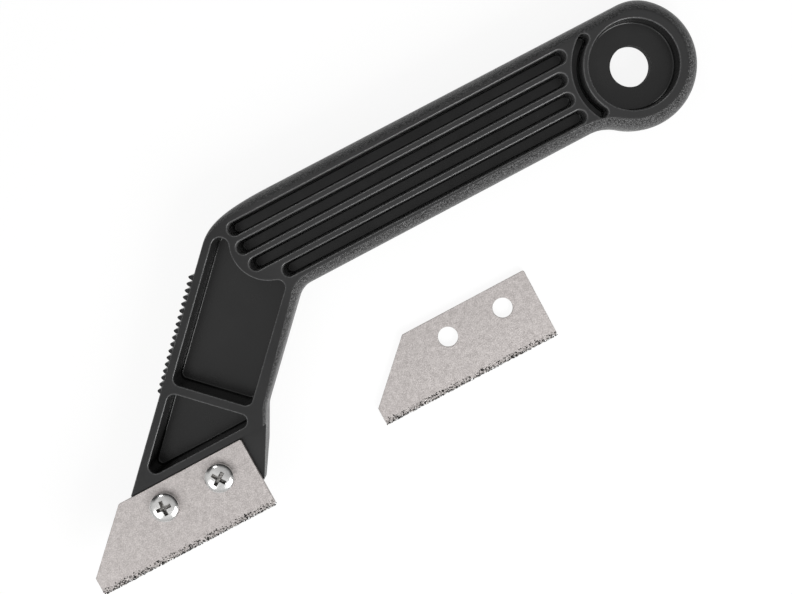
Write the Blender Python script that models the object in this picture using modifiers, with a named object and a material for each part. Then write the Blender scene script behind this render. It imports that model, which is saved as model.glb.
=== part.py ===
"""Grout scraper: a cored plastic handle, a grit-edged blade screwed to its nose, and a spare blade.

Frame: +X runs along the grip to the hanging ring, and +Z rises from the closed back to the
cored front. The origin is on the flat back, under the middle of the grip. Units are metres.
"""

import math

import bmesh
import bpy
import numpy as np
from mathutils import Matrix, Vector

# Handle body
THICKNESS = 0.015
GRIP_LENGTH = 0.1157           # from the outer corner of the elbow to the centre of the ring
GRIP_WIDTH_AT_ELBOW = 0.0276
GRIP_WIDTH_AT_RING = 0.02645
NECK_WIDTH = 0.0279
NECK_BEND = math.radians(45.85)
NECK_LENGTH = 0.0778           # from the outer corner of the elbow to the step of the blade seat
OUTER_ELBOW_REACH = 0.0179     # how far the outer elbow's curve runs along the grip
OUTER_ELBOW_DROP = 0.0072      # and how far it runs down the neck
OUTER_ELBOW_PULL_SHARE = 0.75
INNER_ELBOW_RADIUS = 0.0066

# Hanging ring
RING_RADIUS = 0.0170
RING_DROP = 0.0025             # how far the ring's centre lies below the grip's middle line
RING_TOP_BLEND = 0.012
RING_UNDER_BLEND = 0.012
RECESS_RADIUS = 0.0117
RECESS_DEPTH = 0.0076
BACK_RECESS_DEPTH = 0.002
HANG_HOLE_RADIUS = 0.0054
ARC_SLOT_RADIUS = 0.0146
ARC_SLOT_WIDTH = 0.0029
ARC_SLOT_START = math.radians(126.0)
ARC_SLOT_END = math.radians(209.5)

# Grip slots and neck pockets
BACK_SKIN = 0.003
SLOT_COUNT = 4
SLOT_WIDTH = 0.0037
SLOT_PITCH = 0.00538
SLOT_ELBOW_WALL = 0.0019
SLOT_RING_WALL = 0.0015
ELBOW_ARC_RADIUS = 0.0105
ELBOW_ARC_INSET = 0.0104       # the arc's centre, along the grip from the elbow's outer corner
ELBOW_ARC_DROP = 0.0127        # and below the grip's upper edge
OUTER_WALL = 0.0023
INNER_WALL = 0.0039
POCKET_REACH = 0.0454          # down the neck from the elbow's outer corner
POCKET_TIP_RADIUS = 0.00225
POCKET_CORNER_RADIUS = 0.0019
NECK_RIB = 0.0026
SEAT_WALL = 0.0021
WALL_DRAFT = 0.0002
FLOOR_FILLET = 0.0005
RIM_ROUND = 0.00035

# Rounding of the outer edges, each on the front and on the back
FRONT_RISE_SHARE = 1.8         # height of a front rounding, as a share of its width
GRIP_EDGE_FRONT = 0.0030
GRIP_EDGE_BACK = 0.0050
RING_EDGE_FRONT = 0.0034
RING_EDGE_BACK = 0.0042
NECK_INNER_EDGE_FRONT = 0.0021
NECK_OUTER_EDGE_FRONT = 0.0004
NECK_OUTER_EDGE_BACK = 0.0030
FIN_EDGE_FRONT = 0.0010
FIN_EDGE_BACK = 0.0055
NOSE_EDGE_BACK = 0.0012

# Nose and blade seat
SEAT_TURN = math.radians(0.75)  # the seat and its blade lean a little from the grip's line
SEAT_HEIGHT = 0.0133
SEAT_DEPTH = 0.0017
FIN_ANGLE = math.radians(60.2)
BLADE_SET_BACK = 0.0060        # from the neck's inner side, carried down to the step, to the blade
FIN_INSET = 0.0001             # how far the fin's tip lies under the blade
FIN_TIP_RADIUS = 0.0015
FIN_BEVEL_RISE = 0.0083        # the bevel on the fin's back: its height at the tip,
FIN_BEVEL_REACH = 0.0168       # how far it runs up the fin
FIN_BEVEL_RUN = 0.0070         # and along the nose's end
FIN_ROOT_RADIUS = 0.0085
NOSE_CORNER_RADIUS = 0.0020

# Finger ridges on the neck's outer side
RIDGE_COUNT = 18
RIDGE_PITCH = 0.00185
RIDGE_START = 0.0169           # down the neck from the elbow's outer corner
RIDGE_WIDTH = 0.0014           # at the root, inside the neck
RIDGE_HEIGHT = 0.0013
RIDGE_LAST_HEIGHT = 0.0009
RIDGE_FRONT_MARGIN = 0.0008
RIDGE_BACK_MARGIN = 0.0025
RIDGE_ROOT = 0.0005
RIDGE_SIDES = 6

# Blades
BLADE_LENGTH = 0.0526
BLADE_WIDTH = 0.02005
BLADE_THICKNESS = 0.0012
BLADE_FRONT_ANGLE = math.radians(44.0)
BLADE_TIP_HEIGHT = 0.00525
BLADE_CORNER_RADIUS = 0.0005
BLADE_HOLE_RADIUS = 0.00275
BLADE_HOLE_DROP = 0.00635
BLADE_HOLE_INSET = 0.00975
BLADE_HOLE_SPACING = 0.01675
GRIT_WIDTH = 0.0018
GRIT_STAND = 0.00025           # how far the grit stands out past the plate's faces
GRIT_ROUGHNESS = 0.00018
GRIT_STATION = 0.0009
GRIT_SHOULDER_SHARE = 0.7
GRIT_SIDE_SHARE = 0.7
GRIT_SEEDS = (11, 23)
SPARE_RIGHT = 0.0088           # rear end of the spare blade's cutting edge, from the origin
SPARE_DROP = 0.0578            # and how far below the grip's middle line that edge lies
SPARE_TURN = math.radians(0.65)

# Screws and nuts
SCREW_LENGTH = 0.014
SCREW_RADIUS = 0.0020
SCREW_THREAD_DEPTH = 0.0004
SCREW_THREAD_PITCH = 0.0007
SCREW_PLAIN_LENGTH = 0.004
HEAD_RADIUS = 0.0039
HEAD_HEIGHT = 0.0024
HEAD_RIM_HEIGHT = 0.0009
RECESS_CROSS_SPAN = 0.0044
RECESS_CROSS_WIDTH = 0.0011
RECESS_CROSS_DEPTH = 0.0016
RECESS_TAPER_SHARE = 0.35
FRONT_SCREW_TURN = math.radians(-3.0)
REAR_SCREW_TURN = math.radians(32.0)
NUT_FLATS = 0.0070
NUT_THICKNESS = 0.0032
NUT_CHAMFER = 0.0004
NUT_FACE_SHARE = 0.96
NUT_SPREAD_SHARE = 1.2

# Clearances and the fineness of curves
GAP = 0.0003
OVERRUN = 0.003
ARC_STEP = 0.0015
ARC_ANGLE_STEP = math.radians(16.0)
ROUND_STEPS = 4
RIM_STEPS = 2
FINE_SIDES = 40
THREAD_SIDES = 12
THREAD_STEPS_PER_TURN = 4
SMOOTH_ANGLE = math.radians(32.0)
WELD = 0.00001

# Values that follow from the sizes above
ELBOW_X = -GRIP_LENGTH / 2
RING_CENTRE = np.array([GRIP_LENGTH / 2, -RING_DROP])
ELBOW_CORNER = np.array([ELBOW_X, GRIP_WIDTH_AT_ELBOW / 2])
NECK_WAY = np.array([-math.cos(NECK_BEND), -math.sin(NECK_BEND)])
SEAT_WAY = np.array([math.cos(SEAT_TURN), math.sin(SEAT_TURN)])
SEAT_Z = THICKNESS - SEAT_DEPTH
GRIP_EDGE = (GRIP_EDGE_FRONT, GRIP_EDGE_BACK)
RING_EDGE = (RING_EDGE_FRONT, RING_EDGE_BACK)
NOSE_EDGE = (NECK_OUTER_EDGE_FRONT, NOSE_EDGE_BACK)
FIN_EDGE = (FIN_EDGE_FRONT, FIN_EDGE_BACK)


def left_of(way):
    return np.array([-way[1], way[0]])


def cross(a, b):
    return a[0] * b[1] - a[1] * b[0]


class Line:
    """A straight stretch of an outline; start and end hold the front and back rounding there."""

    def __init__(self, point, way, start=(0.0, 0.0), end=None):
        self.point = np.array(point, float)
        self.way = np.array(way, float) / math.hypot(way[0], way[1])
        self.start = np.array(start)
        self.end = self.start if end is None else np.array(end)

    def shifted(self, distance):
        return Line(self.point + distance * left_of(self.way), self.way)

    def nearest(self, place):
        return self.point + self.way * np.dot(place - self.point, self.way)

    def way_at(self, place):
        return self.way

    def between(self, start, end):
        return [start, end]


class Round:
    """A round stretch of an outline, travelled anticlockwise for turn 1 and clockwise for turn -1."""

    def __init__(self, centre, radius, turn, edge=(0.0, 0.0)):
        self.centre = np.array(centre, float)
        self.radius = radius
        self.turn = turn
        self.start = self.end = np.array(edge)

    def shifted(self, distance):
        return Round(self.centre, self.radius - self.turn * distance, self.turn)

    def nearest(self, place):
        out = place - self.centre
        return self.centre + out * self.radius / math.hypot(out[0], out[1])

    def way_at(self, place):
        return self.turn * left_of(place - self.centre)

    def between(self, start, end):
        return arc_points(self.centre, start, end, self.turn)


def arc_points(centre, start, end, turn):
    """Points along an arc from start to end, both included."""
    first = start - centre
    last = end - centre
    radius = math.hypot(first[0], first[1])
    angle = math.atan2(first[1], first[0])
    sweep = (turn * (math.atan2(last[1], last[0]) - angle)) % (2 * math.pi)
    steps = max(1, math.ceil(sweep / ARC_ANGLE_STEP), math.ceil(sweep * radius / ARC_STEP))
    angles = angle + turn * sweep * np.arange(steps + 1) / steps
    return [centre + radius * np.array([math.cos(a), math.sin(a)]) for a in angles]


def crossings(a, b):
    """The places where two stretches cross; at least one of them is a line."""
    line, other = (a, b) if isinstance(a, Line) else (b, a)
    if isinstance(other, Line):
        along = cross(other.point - line.point, other.way) / cross(line.way, other.way)
        return [line.point + along * line.way]
    foot = line.nearest(other.centre)
    half = math.sqrt(other.radius ** 2 - np.sum((foot - other.centre) ** 2))
    return [foot - half * line.way, foot + half * line.way]


def corner_arc(a, b, radius):
    """The rounded corner from stretch a to b; a negative radius fills a hollow corner."""
    centres = crossings(a.shifted(radius), b.shifted(radius))
    turn = 1 if radius > 0 else -1
    centre = max(centres, key=lambda place: turn * cross(a.way_at(place), b.way_at(place)))
    return arc_points(centre, a.nearest(centre), b.nearest(centre), turn)


def corner_ease(a, b, reach_in, reach_out, pull_share):
    """A corner that bends slowly at first and then tightly, as one cubic curve."""
    corner = crossings(a, b)[0]
    start = corner - reach_in * a.way
    end = corner + reach_out * b.way
    near = start + (corner - start) * pull_share
    far = end + (corner - end) * pull_share
    steps = math.ceil((reach_in + reach_out) / ARC_STEP)
    shares = np.arange(steps + 1) / steps
    return [start * (1 - t) ** 3 + 3 * near * t * (1 - t) ** 2 + 3 * far * t ** 2 * (1 - t) + end * t ** 3
            for t in shares]


def closed_outline(stretches, corners):
    """Points of a closed outline and the edge rounding at each; corner i follows stretch i."""
    points = []
    edges = []
    for i, stretch in enumerate(stretches):
        corner = corners[i]
        following = stretches[(i + 1) % len(stretches)]
        run = stretch.between(corners[i - 1][-1], corner[0])[1:-1]
        points += run + corner
        edges += list(np.linspace(stretch.start, stretch.end, len(run) + 2)[1:-1])
        edges += list(np.linspace(stretch.end, following.start, len(corner)))
    return np.array(points), np.array(edges)


def outward(points):
    """For each point of an anticlockwise outline, the step that moves both its sides out by one."""
    ways = np.roll(points, -1, axis=0) - points
    ways /= np.linalg.norm(ways, axis=1)[:, None]
    normals = np.column_stack([ways[:, 1], -ways[:, 0]])
    before = np.roll(normals, 1, axis=0)
    return (normals + before) / (1 + np.sum(normals * before, axis=1))[:, None]


def finished(mesh, name):
    data = bpy.data.meshes.new(name)
    mesh.to_mesh(data)
    mesh.free()
    return data


def loft(mesh, rings):
    """Adds a closed solid through rings of points, each anticlockwise seen from the last ring's side."""
    loops = [[mesh.verts.new(point) for point in ring] for ring in rings]
    count = len(loops[0])
    for low, high in zip(loops, loops[1:]):
        for i in range(count):
            j = (i + 1) % count
            mesh.faces.new((low[i], low[j], high[j], high[i]))
    mesh.faces.new(loops[0][::-1])
    mesh.faces.new(loops[-1])


def mesh_from_rings(name, rings):
    mesh = bmesh.new()
    loft(mesh, rings)
    return finished(mesh, name)


def slab_rings(points, sections):
    """Rings of an outline at each (height, outset) of sections; both may differ from point to point."""
    steps = outward(points)
    rings = []
    for height, outset in sections:
        flat = points + steps * np.broadcast_to(outset, len(points))[:, None]
        rings.append(np.column_stack([flat, np.broadcast_to(height, len(points))]))
    return rings


def rounding(radius, steps):
    """Insets and rises of a quarter round, from its upright end to its level end."""
    angles = [math.pi / 2 * k / steps for k in range(steps + 1)]
    return [(radius * (1 - math.cos(a)), radius * (1 - math.sin(a))) for a in angles]


def rounded_slab(name, points, edges, low, high):
    """A plate with front and back edges rounded by widths that change along the outline."""
    front, back = edges.T
    sections = [(low + rise, -inset) for inset, rise in reversed(rounding(back, ROUND_STEPS))]
    sections += [(high - FRONT_RISE_SHARE * rise, -inset) for inset, rise in rounding(front, ROUND_STEPS)]
    mesh = bmesh.new()
    loft(mesh, slab_rings(points, sections))
    # Where the radius changes the sides are twisted, and cuts need flat faces
    bmesh.ops.triangulate(mesh, faces=[face for face in mesh.faces if len(face.verts) == 4])
    return finished(mesh, name)


def pocket_cutter(name, points, floor, face):
    """A cutter for a moulded pocket: filleted floor, drafted wall and rounded rim."""
    sections = [(floor + rise, -inset - WALL_DRAFT)
                for inset, rise in reversed(rounding(FLOOR_FILLET, RIM_STEPS))]
    sections += [(face - rise, inset) for inset, rise in rounding(RIM_ROUND, RIM_STEPS)]
    sections += [(face + OVERRUN, RIM_ROUND)]
    return mesh_from_rings(name, slab_rings(points, sections))


def circle(centre, radius, sides):
    angles = [math.pi * (2 * k + 1) / sides for k in range(sides)]
    return np.array([centre + radius * np.array([math.cos(a), math.sin(a)]) for a in angles])


def prism(name, centre, radius, low, high, sides):
    """An upright cylinder, or a hexagon with six sides."""
    return mesh_from_rings(name, [[(*point, z) for point in circle(centre, radius, sides)] for z in (low, high)])


def new_collection(name):
    collection = bpy.data.collections.new(name)
    bpy.context.scene.collection.children.link(collection)
    return collection


def add_part(name, data, material, collection):
    part = bpy.data.objects.new(name, data)
    collection.objects.link(part)
    if not data.materials:
        data.materials.append(material)
    return part


def add_cutter(name, data, collection):
    cutter = bpy.data.objects.new(name, data)
    cutter.hide_render = True
    cutter.display_type = "WIRE"
    collection.objects.link(cutter)
    return cutter


def combine(part, other, operation):
    boolean = part.modifiers.new(other.name, "BOOLEAN")
    boolean.operation = operation
    boolean.object = other


def shade(data):
    data.shade_smooth()
    data.set_sharp_from_angle(angle=SMOOTH_ANGLE)


def material(name, colour, roughness, metallic=0.0):
    made = bpy.data.materials.new(name)
    made.use_nodes = True
    shader = made.node_tree.nodes["Principled BSDF"]
    shader.inputs["Base Color"].default_value = (*colour, 1.0)
    shader.inputs["Roughness"].default_value = roughness
    shader.inputs["Metallic"].default_value = metallic
    return made


# The long sides that the handle's outline and its pockets share


def grip_upper():
    ring_end = np.array([RING_CENTRE[0], GRIP_WIDTH_AT_RING / 2])
    return Line(ELBOW_CORNER, ELBOW_CORNER - ring_end, GRIP_EDGE)


def grip_lower():
    start = np.array([ELBOW_X, -GRIP_WIDTH_AT_ELBOW / 2])
    ring_end = np.array([RING_CENTRE[0], -GRIP_WIDTH_AT_RING / 2])
    return Line(start, ring_end - start, GRIP_EDGE)


def neck_outer():
    return Line(ELBOW_CORNER, NECK_WAY, (NECK_OUTER_EDGE_FRONT, NECK_OUTER_EDGE_BACK), NOSE_EDGE)


def neck_inner():
    start = ELBOW_CORNER + NECK_WIDTH * left_of(NECK_WAY)
    return Line(start, -NECK_WAY, FIN_EDGE, (NECK_INNER_EDGE_FRONT, FIN_EDGE_BACK))


def seat_step():
    """The step at the blade's top edge, which runs from the neck's outer side."""
    return Line(ELBOW_CORNER + NECK_LENGTH * NECK_WAY, SEAT_WAY)


def on_seat(along, up):
    """A place given from the rear end of the mounted blade's cutting edge."""
    rear = crossings(neck_inner(), seat_step())[0] - BLADE_SET_BACK * SEAT_WAY
    return rear + along * SEAT_WAY + (up - BLADE_WIDTH - GAP) * left_of(SEAT_WAY)


def fin_side():
    tip = on_seat(-FIN_INSET, BLADE_WIDTH + GAP - SEAT_HEIGHT)
    return Line(tip, (math.cos(FIN_ANGLE), math.sin(FIN_ANGLE)), NOSE_EDGE, FIN_EDGE)


def handle_outline():
    nose = Line(seat_step().shifted(-SEAT_HEIGHT).point, SEAT_WAY, NOSE_EDGE)
    fin = fin_side()
    ring = Round(RING_CENTRE, RING_RADIUS, 1, RING_EDGE)
    outer, inner, lower, upper = neck_outer(), neck_inner(), grip_lower(), grip_upper()
    stretches = [outer, nose, fin, inner, lower, ring, upper]
    corners = [
        corner_arc(outer, nose, NOSE_CORNER_RADIUS),
        corner_arc(nose, fin, FIN_TIP_RADIUS),
        corner_arc(fin, inner, -FIN_ROOT_RADIUS),
        corner_arc(inner, lower, -INNER_ELBOW_RADIUS),
        corner_arc(lower, ring, -RING_UNDER_BLEND),
        corner_arc(ring, upper, RING_TOP_BLEND),
        corner_ease(upper, outer, OUTER_ELBOW_REACH, OUTER_ELBOW_DROP, OUTER_ELBOW_PULL_SHARE),
    ]
    return closed_outline(stretches, corners)


def neck_pocket_outline():
    outer = neck_outer().shifted(OUTER_WALL)
    inner = neck_inner().shifted(INNER_WALL)
    end = Line(ELBOW_CORNER + POCKET_REACH * NECK_WAY, left_of(NECK_WAY))
    arc_centre = ELBOW_CORNER + np.array([ELBOW_ARC_INSET, -ELBOW_ARC_DROP])
    arc = Round(arc_centre, ELBOW_ARC_RADIUS, -1)
    corners = [
        corner_arc(outer, end, POCKET_CORNER_RADIUS),
        corner_arc(end, inner, POCKET_CORNER_RADIUS),
        corner_arc(inner, arc, POCKET_CORNER_RADIUS),
        corner_arc(arc, outer, POCKET_TIP_RADIUS),
    ]
    return closed_outline([outer, end, inner, arc], corners)[0]


def corner_pocket_outline():
    outer = neck_outer().shifted(OUTER_WALL)
    bottom = seat_step().shifted(SEAT_WALL)
    top = Line(ELBOW_CORNER + (POCKET_REACH + NECK_RIB) * NECK_WAY, -left_of(NECK_WAY))
    corners = [
        corner_arc(outer, bottom, POCKET_CORNER_RADIUS),
        corner_arc(bottom, top, POCKET_CORNER_RADIUS),
        corner_arc(top, outer, POCKET_CORNER_RADIUS),
    ]
    return closed_outline([outer, bottom, top], corners)[0]


def arc_slot_outline():
    half = ARC_SLOT_WIDTH / 2
    ways = [np.array([math.cos(a), math.sin(a)]) for a in (ARC_SLOT_START, ARC_SLOT_END)]
    first, last = [RING_CENTRE + ARC_SLOT_RADIUS * way for way in ways]
    outer_first, inner_first = first + half * ways[0], first - half * ways[0]
    outer_last, inner_last = last + half * ways[1], last - half * ways[1]
    points = arc_points(RING_CENTRE, outer_first, outer_last, 1)
    points += arc_points(last, outer_last, inner_last, 1)[1:]
    points += arc_points(RING_CENTRE, inner_last, inner_first, -1)[1:]
    points += arc_points(first, inner_first, outer_first, 1)[1:-1]
    return np.array(points)


def slot_stop(obstacle, height, wall, side):
    """How far along X a slot's end centre goes, keeping a wall to another pocket's outline."""
    reach = SLOT_WIDTH / 2 + wall
    near = obstacle[np.abs(obstacle[:, 1] - height) < reach]
    stops = near[:, 0] + side * np.sqrt(reach ** 2 - (near[:, 1] - height) ** 2)
    return side * max(side * stops)


def slot_outline(start, end, height):
    down, up = np.array([0.0, -SLOT_WIDTH / 2]), np.array([0.0, SLOT_WIDTH / 2])
    left, right = np.array([start, height]), np.array([end, height])
    points = arc_points(right, right + down, right + up, 1)
    points += arc_points(left, left + up, left + down, 1)
    return np.array(points)


def slot_outlines():
    """The long slots along the grip, between the neck's pocket and the slot round the ring."""
    pocket, arc_slot = neck_pocket_outline(), arc_slot_outline()
    outlines = []
    for i in range(SLOT_COUNT):
        height = (i - (SLOT_COUNT - 1) / 2) * SLOT_PITCH
        start = slot_stop(pocket, height, SLOT_ELBOW_WALL, 1)
        end = slot_stop(arc_slot, height, SLOT_RING_WALL, -1)
        outlines.append(slot_outline(start, end, height))
    return outlines


def ridges_mesh():
    """Round-topped finger ridges down the neck's outer side, each lower than the last."""
    mesh = bmesh.new()
    out = -left_of(NECK_WAY)
    angles = np.linspace(math.pi, 0.0, RIDGE_SIDES + 1)
    for i in range(RIDGE_COUNT):
        share = i / (RIDGE_COUNT - 1)
        height = RIDGE_HEIGHT + (RIDGE_LAST_HEIGHT - RIDGE_HEIGHT) * share
        foot = ELBOW_CORNER + (RIDGE_START + i * RIDGE_PITCH) * NECK_WAY - RIDGE_ROOT * out
        side, rise = RIDGE_WIDTH / 2 * NECK_WAY, (height + RIDGE_ROOT) * out
        flat = [foot + side * math.cos(a) + rise * math.sin(a) for a in angles]
        heights = (RIDGE_BACK_MARGIN, THICKNESS - RIDGE_FRONT_MARGIN)
        loft(mesh, [[(*point, z) for point in flat] for z in heights])
    return finished(mesh, "ridges")


def hole_centres():
    """The blade's two holes, from the rear end of its cutting edge: the rear one first."""
    height = BLADE_WIDTH - BLADE_HOLE_DROP
    return [(-BLADE_HOLE_INSET, height), (-BLADE_HOLE_INSET - BLADE_HOLE_SPACING, height)]


def seat_cutter():
    """Everything in front of the seat's level, from the step to past the nose's end."""
    step = seat_step()
    far = SEAT_HEIGHT + OVERRUN
    ends = (-BLADE_LENGTH, NECK_WIDTH * 2)
    flat = [step.shifted(-far).point + along * SEAT_WAY for along in ends]
    flat += [step.point + along * SEAT_WAY for along in reversed(ends)]
    heights = (SEAT_Z, THICKNESS + OVERRUN)
    return mesh_from_rings("seat_cutter", [[(*point, z) for point in flat] for z in heights])


def fin_bevel_cutter():
    """A wedge behind the fin's tip; its slanting side leaves the back between the nose and the fin."""
    fin = fin_side()
    low, high = fin.point - FIN_BEVEL_RUN * SEAT_WAY, fin.point + FIN_BEVEL_REACH * fin.way
    trace = Line(low, high - low)
    out = -left_of(trace.way)
    slope = FIN_BEVEL_RISE / np.dot(fin.point - low, out)
    rises = (-OVERRUN, FIN_BEVEL_RISE + OVERRUN)
    section = [(rises[0] / slope, rises[0]), (rises[1] / slope, rises[1]), (rises[1] / slope, rises[0])]
    ends = (low - OVERRUN * trace.way, high + OVERRUN * trace.way)
    return mesh_from_rings("fin_bevel_cutter", [[(*(end + u * out), z) for u, z in section] for end in ends])


def handle_cutters(collection):
    floor, face = BACK_SKIN, THICKNESS
    shapes = [seat_cutter(), fin_bevel_cutter()]
    shapes += [pocket_cutter("slot_cutter", points, floor, face) for points in slot_outlines()]
    shapes += [
        pocket_cutter("arc_slot_cutter", arc_slot_outline(), floor, face),
        pocket_cutter("neck_pocket_cutter", neck_pocket_outline(), floor, face),
        pocket_cutter("corner_pocket_cutter", corner_pocket_outline(), floor, face),
        pocket_cutter("recess_cutter", circle(RING_CENTRE, RECESS_RADIUS, FINE_SIDES), face - RECESS_DEPTH, face),
        prism("hang_hole_cutter", RING_CENTRE, HANG_HOLE_RADIUS, -OVERRUN, face + OVERRUN, FINE_SIDES),
        prism("back_recess_cutter", RING_CENTRE, RECESS_RADIUS, -OVERRUN, BACK_RECESS_DEPTH, FINE_SIDES),
    ]
    nut_radius = NUT_FLATS / math.sqrt(3) + GAP
    for hole in hole_centres():
        centre = on_seat(*hole)
        shapes.append(prism("nut_pocket_cutter", centre, nut_radius, -OVERRUN, NUT_THICKNESS + 2 * GAP, 6))
        shapes.append(prism("screw_hole_cutter", centre, SCREW_RADIUS + GAP, 0.0, face + OVERRUN, FINE_SIDES))
    return [add_cutter(data.name, data, collection) for data in shapes]


def add_handle(parts, cutters):
    points, edges = handle_outline()
    body = rounded_slab("handle", points, edges, 0.0, THICKNESS)
    plastic = material("black_plastic", (0.024, 0.024, 0.025), 0.42)
    handle = add_part("handle", body, plastic, parts)
    combine(handle, add_cutter("ridges", ridges_mesh(), cutters), "UNION")
    for cutter in handle_cutters(cutters):
        combine(handle, cutter, "DIFFERENCE")
    shade(body)
    return handle


def plate_outline():
    """The blade plate's edge, above the grit, from the rear end of the cutting edge."""
    front_way = (-math.cos(BLADE_FRONT_ANGLE), -math.sin(BLADE_FRONT_ANGLE))
    stretches = [
        Line((0.0, GRIT_WIDTH), (1.0, 0.0)),
        Line((0.0, 0.0), (0.0, 1.0)),
        Line((0.0, BLADE_WIDTH), (-1.0, 0.0)),
        Line((-BLADE_LENGTH, BLADE_TIP_HEIGHT), front_way),
        Line((-BLADE_LENGTH, 0.0), (0.0, -1.0)),
    ]
    corners = [corner_arc(a, b, BLADE_CORNER_RADIUS) for a, b in zip(stretches, stretches[1:] + stretches[:1])]
    return closed_outline(stretches, corners)[0]


def plate_mesh():
    """A flat outline with two holes, as thick as the sheet and standing on z = 0."""
    curve = bpy.data.curves.new("plate_outline", "CURVE")
    curve.dimensions = "2D"
    curve.fill_mode = "BOTH"
    curve.extrude = BLADE_THICKNESS / 2
    holes = [circle(np.array(centre), BLADE_HOLE_RADIUS, FINE_SIDES) for centre in hole_centres()]
    for points in [plate_outline(), *holes]:
        spline = curve.splines.new("POLY")
        spline.points.add(len(points) - 1)
        for place, point in zip(spline.points, points):
            place.co = (point[0], point[1], 0.0, 1.0)
        spline.use_cyclic_u = True
    holder = bpy.data.objects.new("plate_outline", curve)
    bpy.context.scene.collection.objects.link(holder)
    graph = bpy.context.evaluated_depsgraph_get()
    data = bpy.data.meshes.new_from_object(holder.evaluated_get(graph))
    bpy.data.objects.remove(holder)
    mesh = bmesh.new()
    mesh.from_mesh(data)
    bmesh.ops.remove_doubles(mesh, verts=mesh.verts, dist=WELD)
    bmesh.ops.translate(mesh, vec=(0.0, 0.0, BLADE_THICKNESS / 2), verts=mesh.verts)
    bmesh.ops.recalc_face_normals(mesh, faces=mesh.faces)
    mesh.to_mesh(data)
    mesh.free()
    return data


def grit_mesh(seed):
    """A rough bar of brazed grit along the cutting edge, a little thicker than the plate."""
    random = np.random.default_rng(seed)
    thick, stand, root = BLADE_THICKNESS, GRIT_STAND, GRIT_WIDTH - GAP
    section = np.array([
        (GRIT_SHOULDER_SHARE * root, -stand), (root, -stand / 2),
        (root, thick + stand / 2), (GRIT_SHOULDER_SHARE * root, thick + stand),
        (GRIT_ROUGHNESS * 2, thick + stand), (GRIT_ROUGHNESS, thick * GRIT_SIDE_SHARE),
        (GRIT_ROUGHNESS, thick * (1 - GRIT_SIDE_SHARE)), (GRIT_ROUGHNESS * 2, -stand),
    ])
    free = np.array([1, 0, 0, 1, 1, 1, 1, 1])[:, None]
    stations = np.linspace(GRIT_ROUGHNESS - BLADE_LENGTH, -GRIT_ROUGHNESS, round(BLADE_LENGTH / GRIT_STATION))
    rings = []
    for x in stations:
        ring = section + free * random.uniform(-GRIT_ROUGHNESS, GRIT_ROUGHNESS, section.shape)
        rings.append([(x, y, z) for y, z in ring])
    return mesh_from_rings("grit", rings)


def add_blade(prefix, place, turn, seed, plate, materials, parts):
    """A blade on an empty at the rear end of its cutting edge."""
    holder = bpy.data.objects.new(prefix + "holder", None)
    holder.location = place
    holder.rotation_euler = (0.0, 0.0, turn)
    parts.objects.link(holder)
    steel, grit = materials
    add_part(prefix + "blade_plate", plate, steel, parts).parent = holder
    add_part(prefix + "blade_grit", grit_mesh(seed), grit, parts).parent = holder
    return holder


def head_profile():
    """The screw's head and plain shank, from the axis on top down the outside to the axis below."""
    dome = [math.pi / 2 * k / ROUND_STEPS for k in range(ROUND_STEPS + 1)]
    rise = HEAD_HEIGHT - HEAD_RIM_HEIGHT
    profile = [(HEAD_RADIUS * math.sin(a), HEAD_RIM_HEIGHT + rise * math.cos(a)) for a in dome]
    return profile + [
        (HEAD_RADIUS, 0.0), (SCREW_RADIUS, 0.0),
        (SCREW_RADIUS, -SCREW_PLAIN_LENGTH), (0.0, -SCREW_PLAIN_LENGTH),
    ]


def turned(name, profile, shade_material, parts):
    data = bpy.data.meshes.new(name)
    edges = [(i, i + 1) for i in range(len(profile) - 1)]
    data.from_pydata([(x, 0.0, z) for x, z in profile], edges, [])
    part = add_part(name, data, shade_material, parts)
    screw = part.modifiers.new("turn", "SCREW")
    screw.axis = "Z"
    screw.steps = FINE_SIDES
    screw.render_steps = FINE_SIDES
    screw.use_merge_vertices = True
    screw.merge_threshold = WELD
    return part


def thread_mesh():
    """The threaded end: a helical ridge that runs out under the plain shank and at the tip."""
    top = SCREW_THREAD_PITCH - SCREW_PLAIN_LENGTH
    step = SCREW_THREAD_PITCH / THREAD_STEPS_PER_TURN
    count = round((top + SCREW_LENGTH) / step)
    root = SCREW_RADIUS - SCREW_THREAD_DEPTH
    rings = []
    for z in np.linspace(-SCREW_LENGTH, top, count + 1):
        run_out = min(1.0, (top - z) / SCREW_THREAD_PITCH / 2, (z + SCREW_LENGTH) / SCREW_THREAD_PITCH)
        ring = []
        for k in range(THREAD_SIDES):
            turn = (z / SCREW_THREAD_PITCH - k / THREAD_SIDES) % 1.0
            radius = root + SCREW_THREAD_DEPTH * run_out * (1 - abs(2 * turn - 1))
            angle = 2 * math.pi * k / THREAD_SIDES
            ring.append((radius * math.cos(angle), radius * math.sin(angle), z))
        rings.append(ring)
    return mesh_from_rings("thread", rings)


def cross_mesh():
    """A tapered cross-shaped cutter for the driver's recess."""
    wide, long = RECESS_CROSS_WIDTH / 2, RECESS_CROSS_SPAN / 2
    arm = [(long, -wide), (long, wide), (wide, wide)]
    flat = []
    for k in range(4):
        turn = Matrix.Rotation(k * math.pi / 2, 2)
        flat += [np.array(turn @ Vector(point)) for point in arm]
    depths = (RECESS_CROSS_DEPTH, -RECESS_CROSS_DEPTH)
    rings = []
    for depth in depths:
        size = 1 - RECESS_TAPER_SHARE * depth / RECESS_CROSS_DEPTH
        rings.append([(*(size * point), HEAD_HEIGHT - depth) for point in flat])
    return mesh_from_rings("cross", rings)


def add_screw(name, holder, hole, turn, steel, parts, cutters):
    screw = turned(name, head_profile(), steel, parts)
    pieces = (("_thread", thread_mesh(), "UNION"), ("_cross", cross_mesh(), "DIFFERENCE"))
    screw.parent = holder
    screw.location = (*hole, BLADE_THICKNESS + GAP)
    screw.rotation_euler = (0.0, 0.0, turn)
    for ending, data, operation in pieces:
        cutter = add_cutter(name + ending, data, cutters)
        cutter.parent = screw
        combine(screw, cutter, operation)
    return screw


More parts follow.
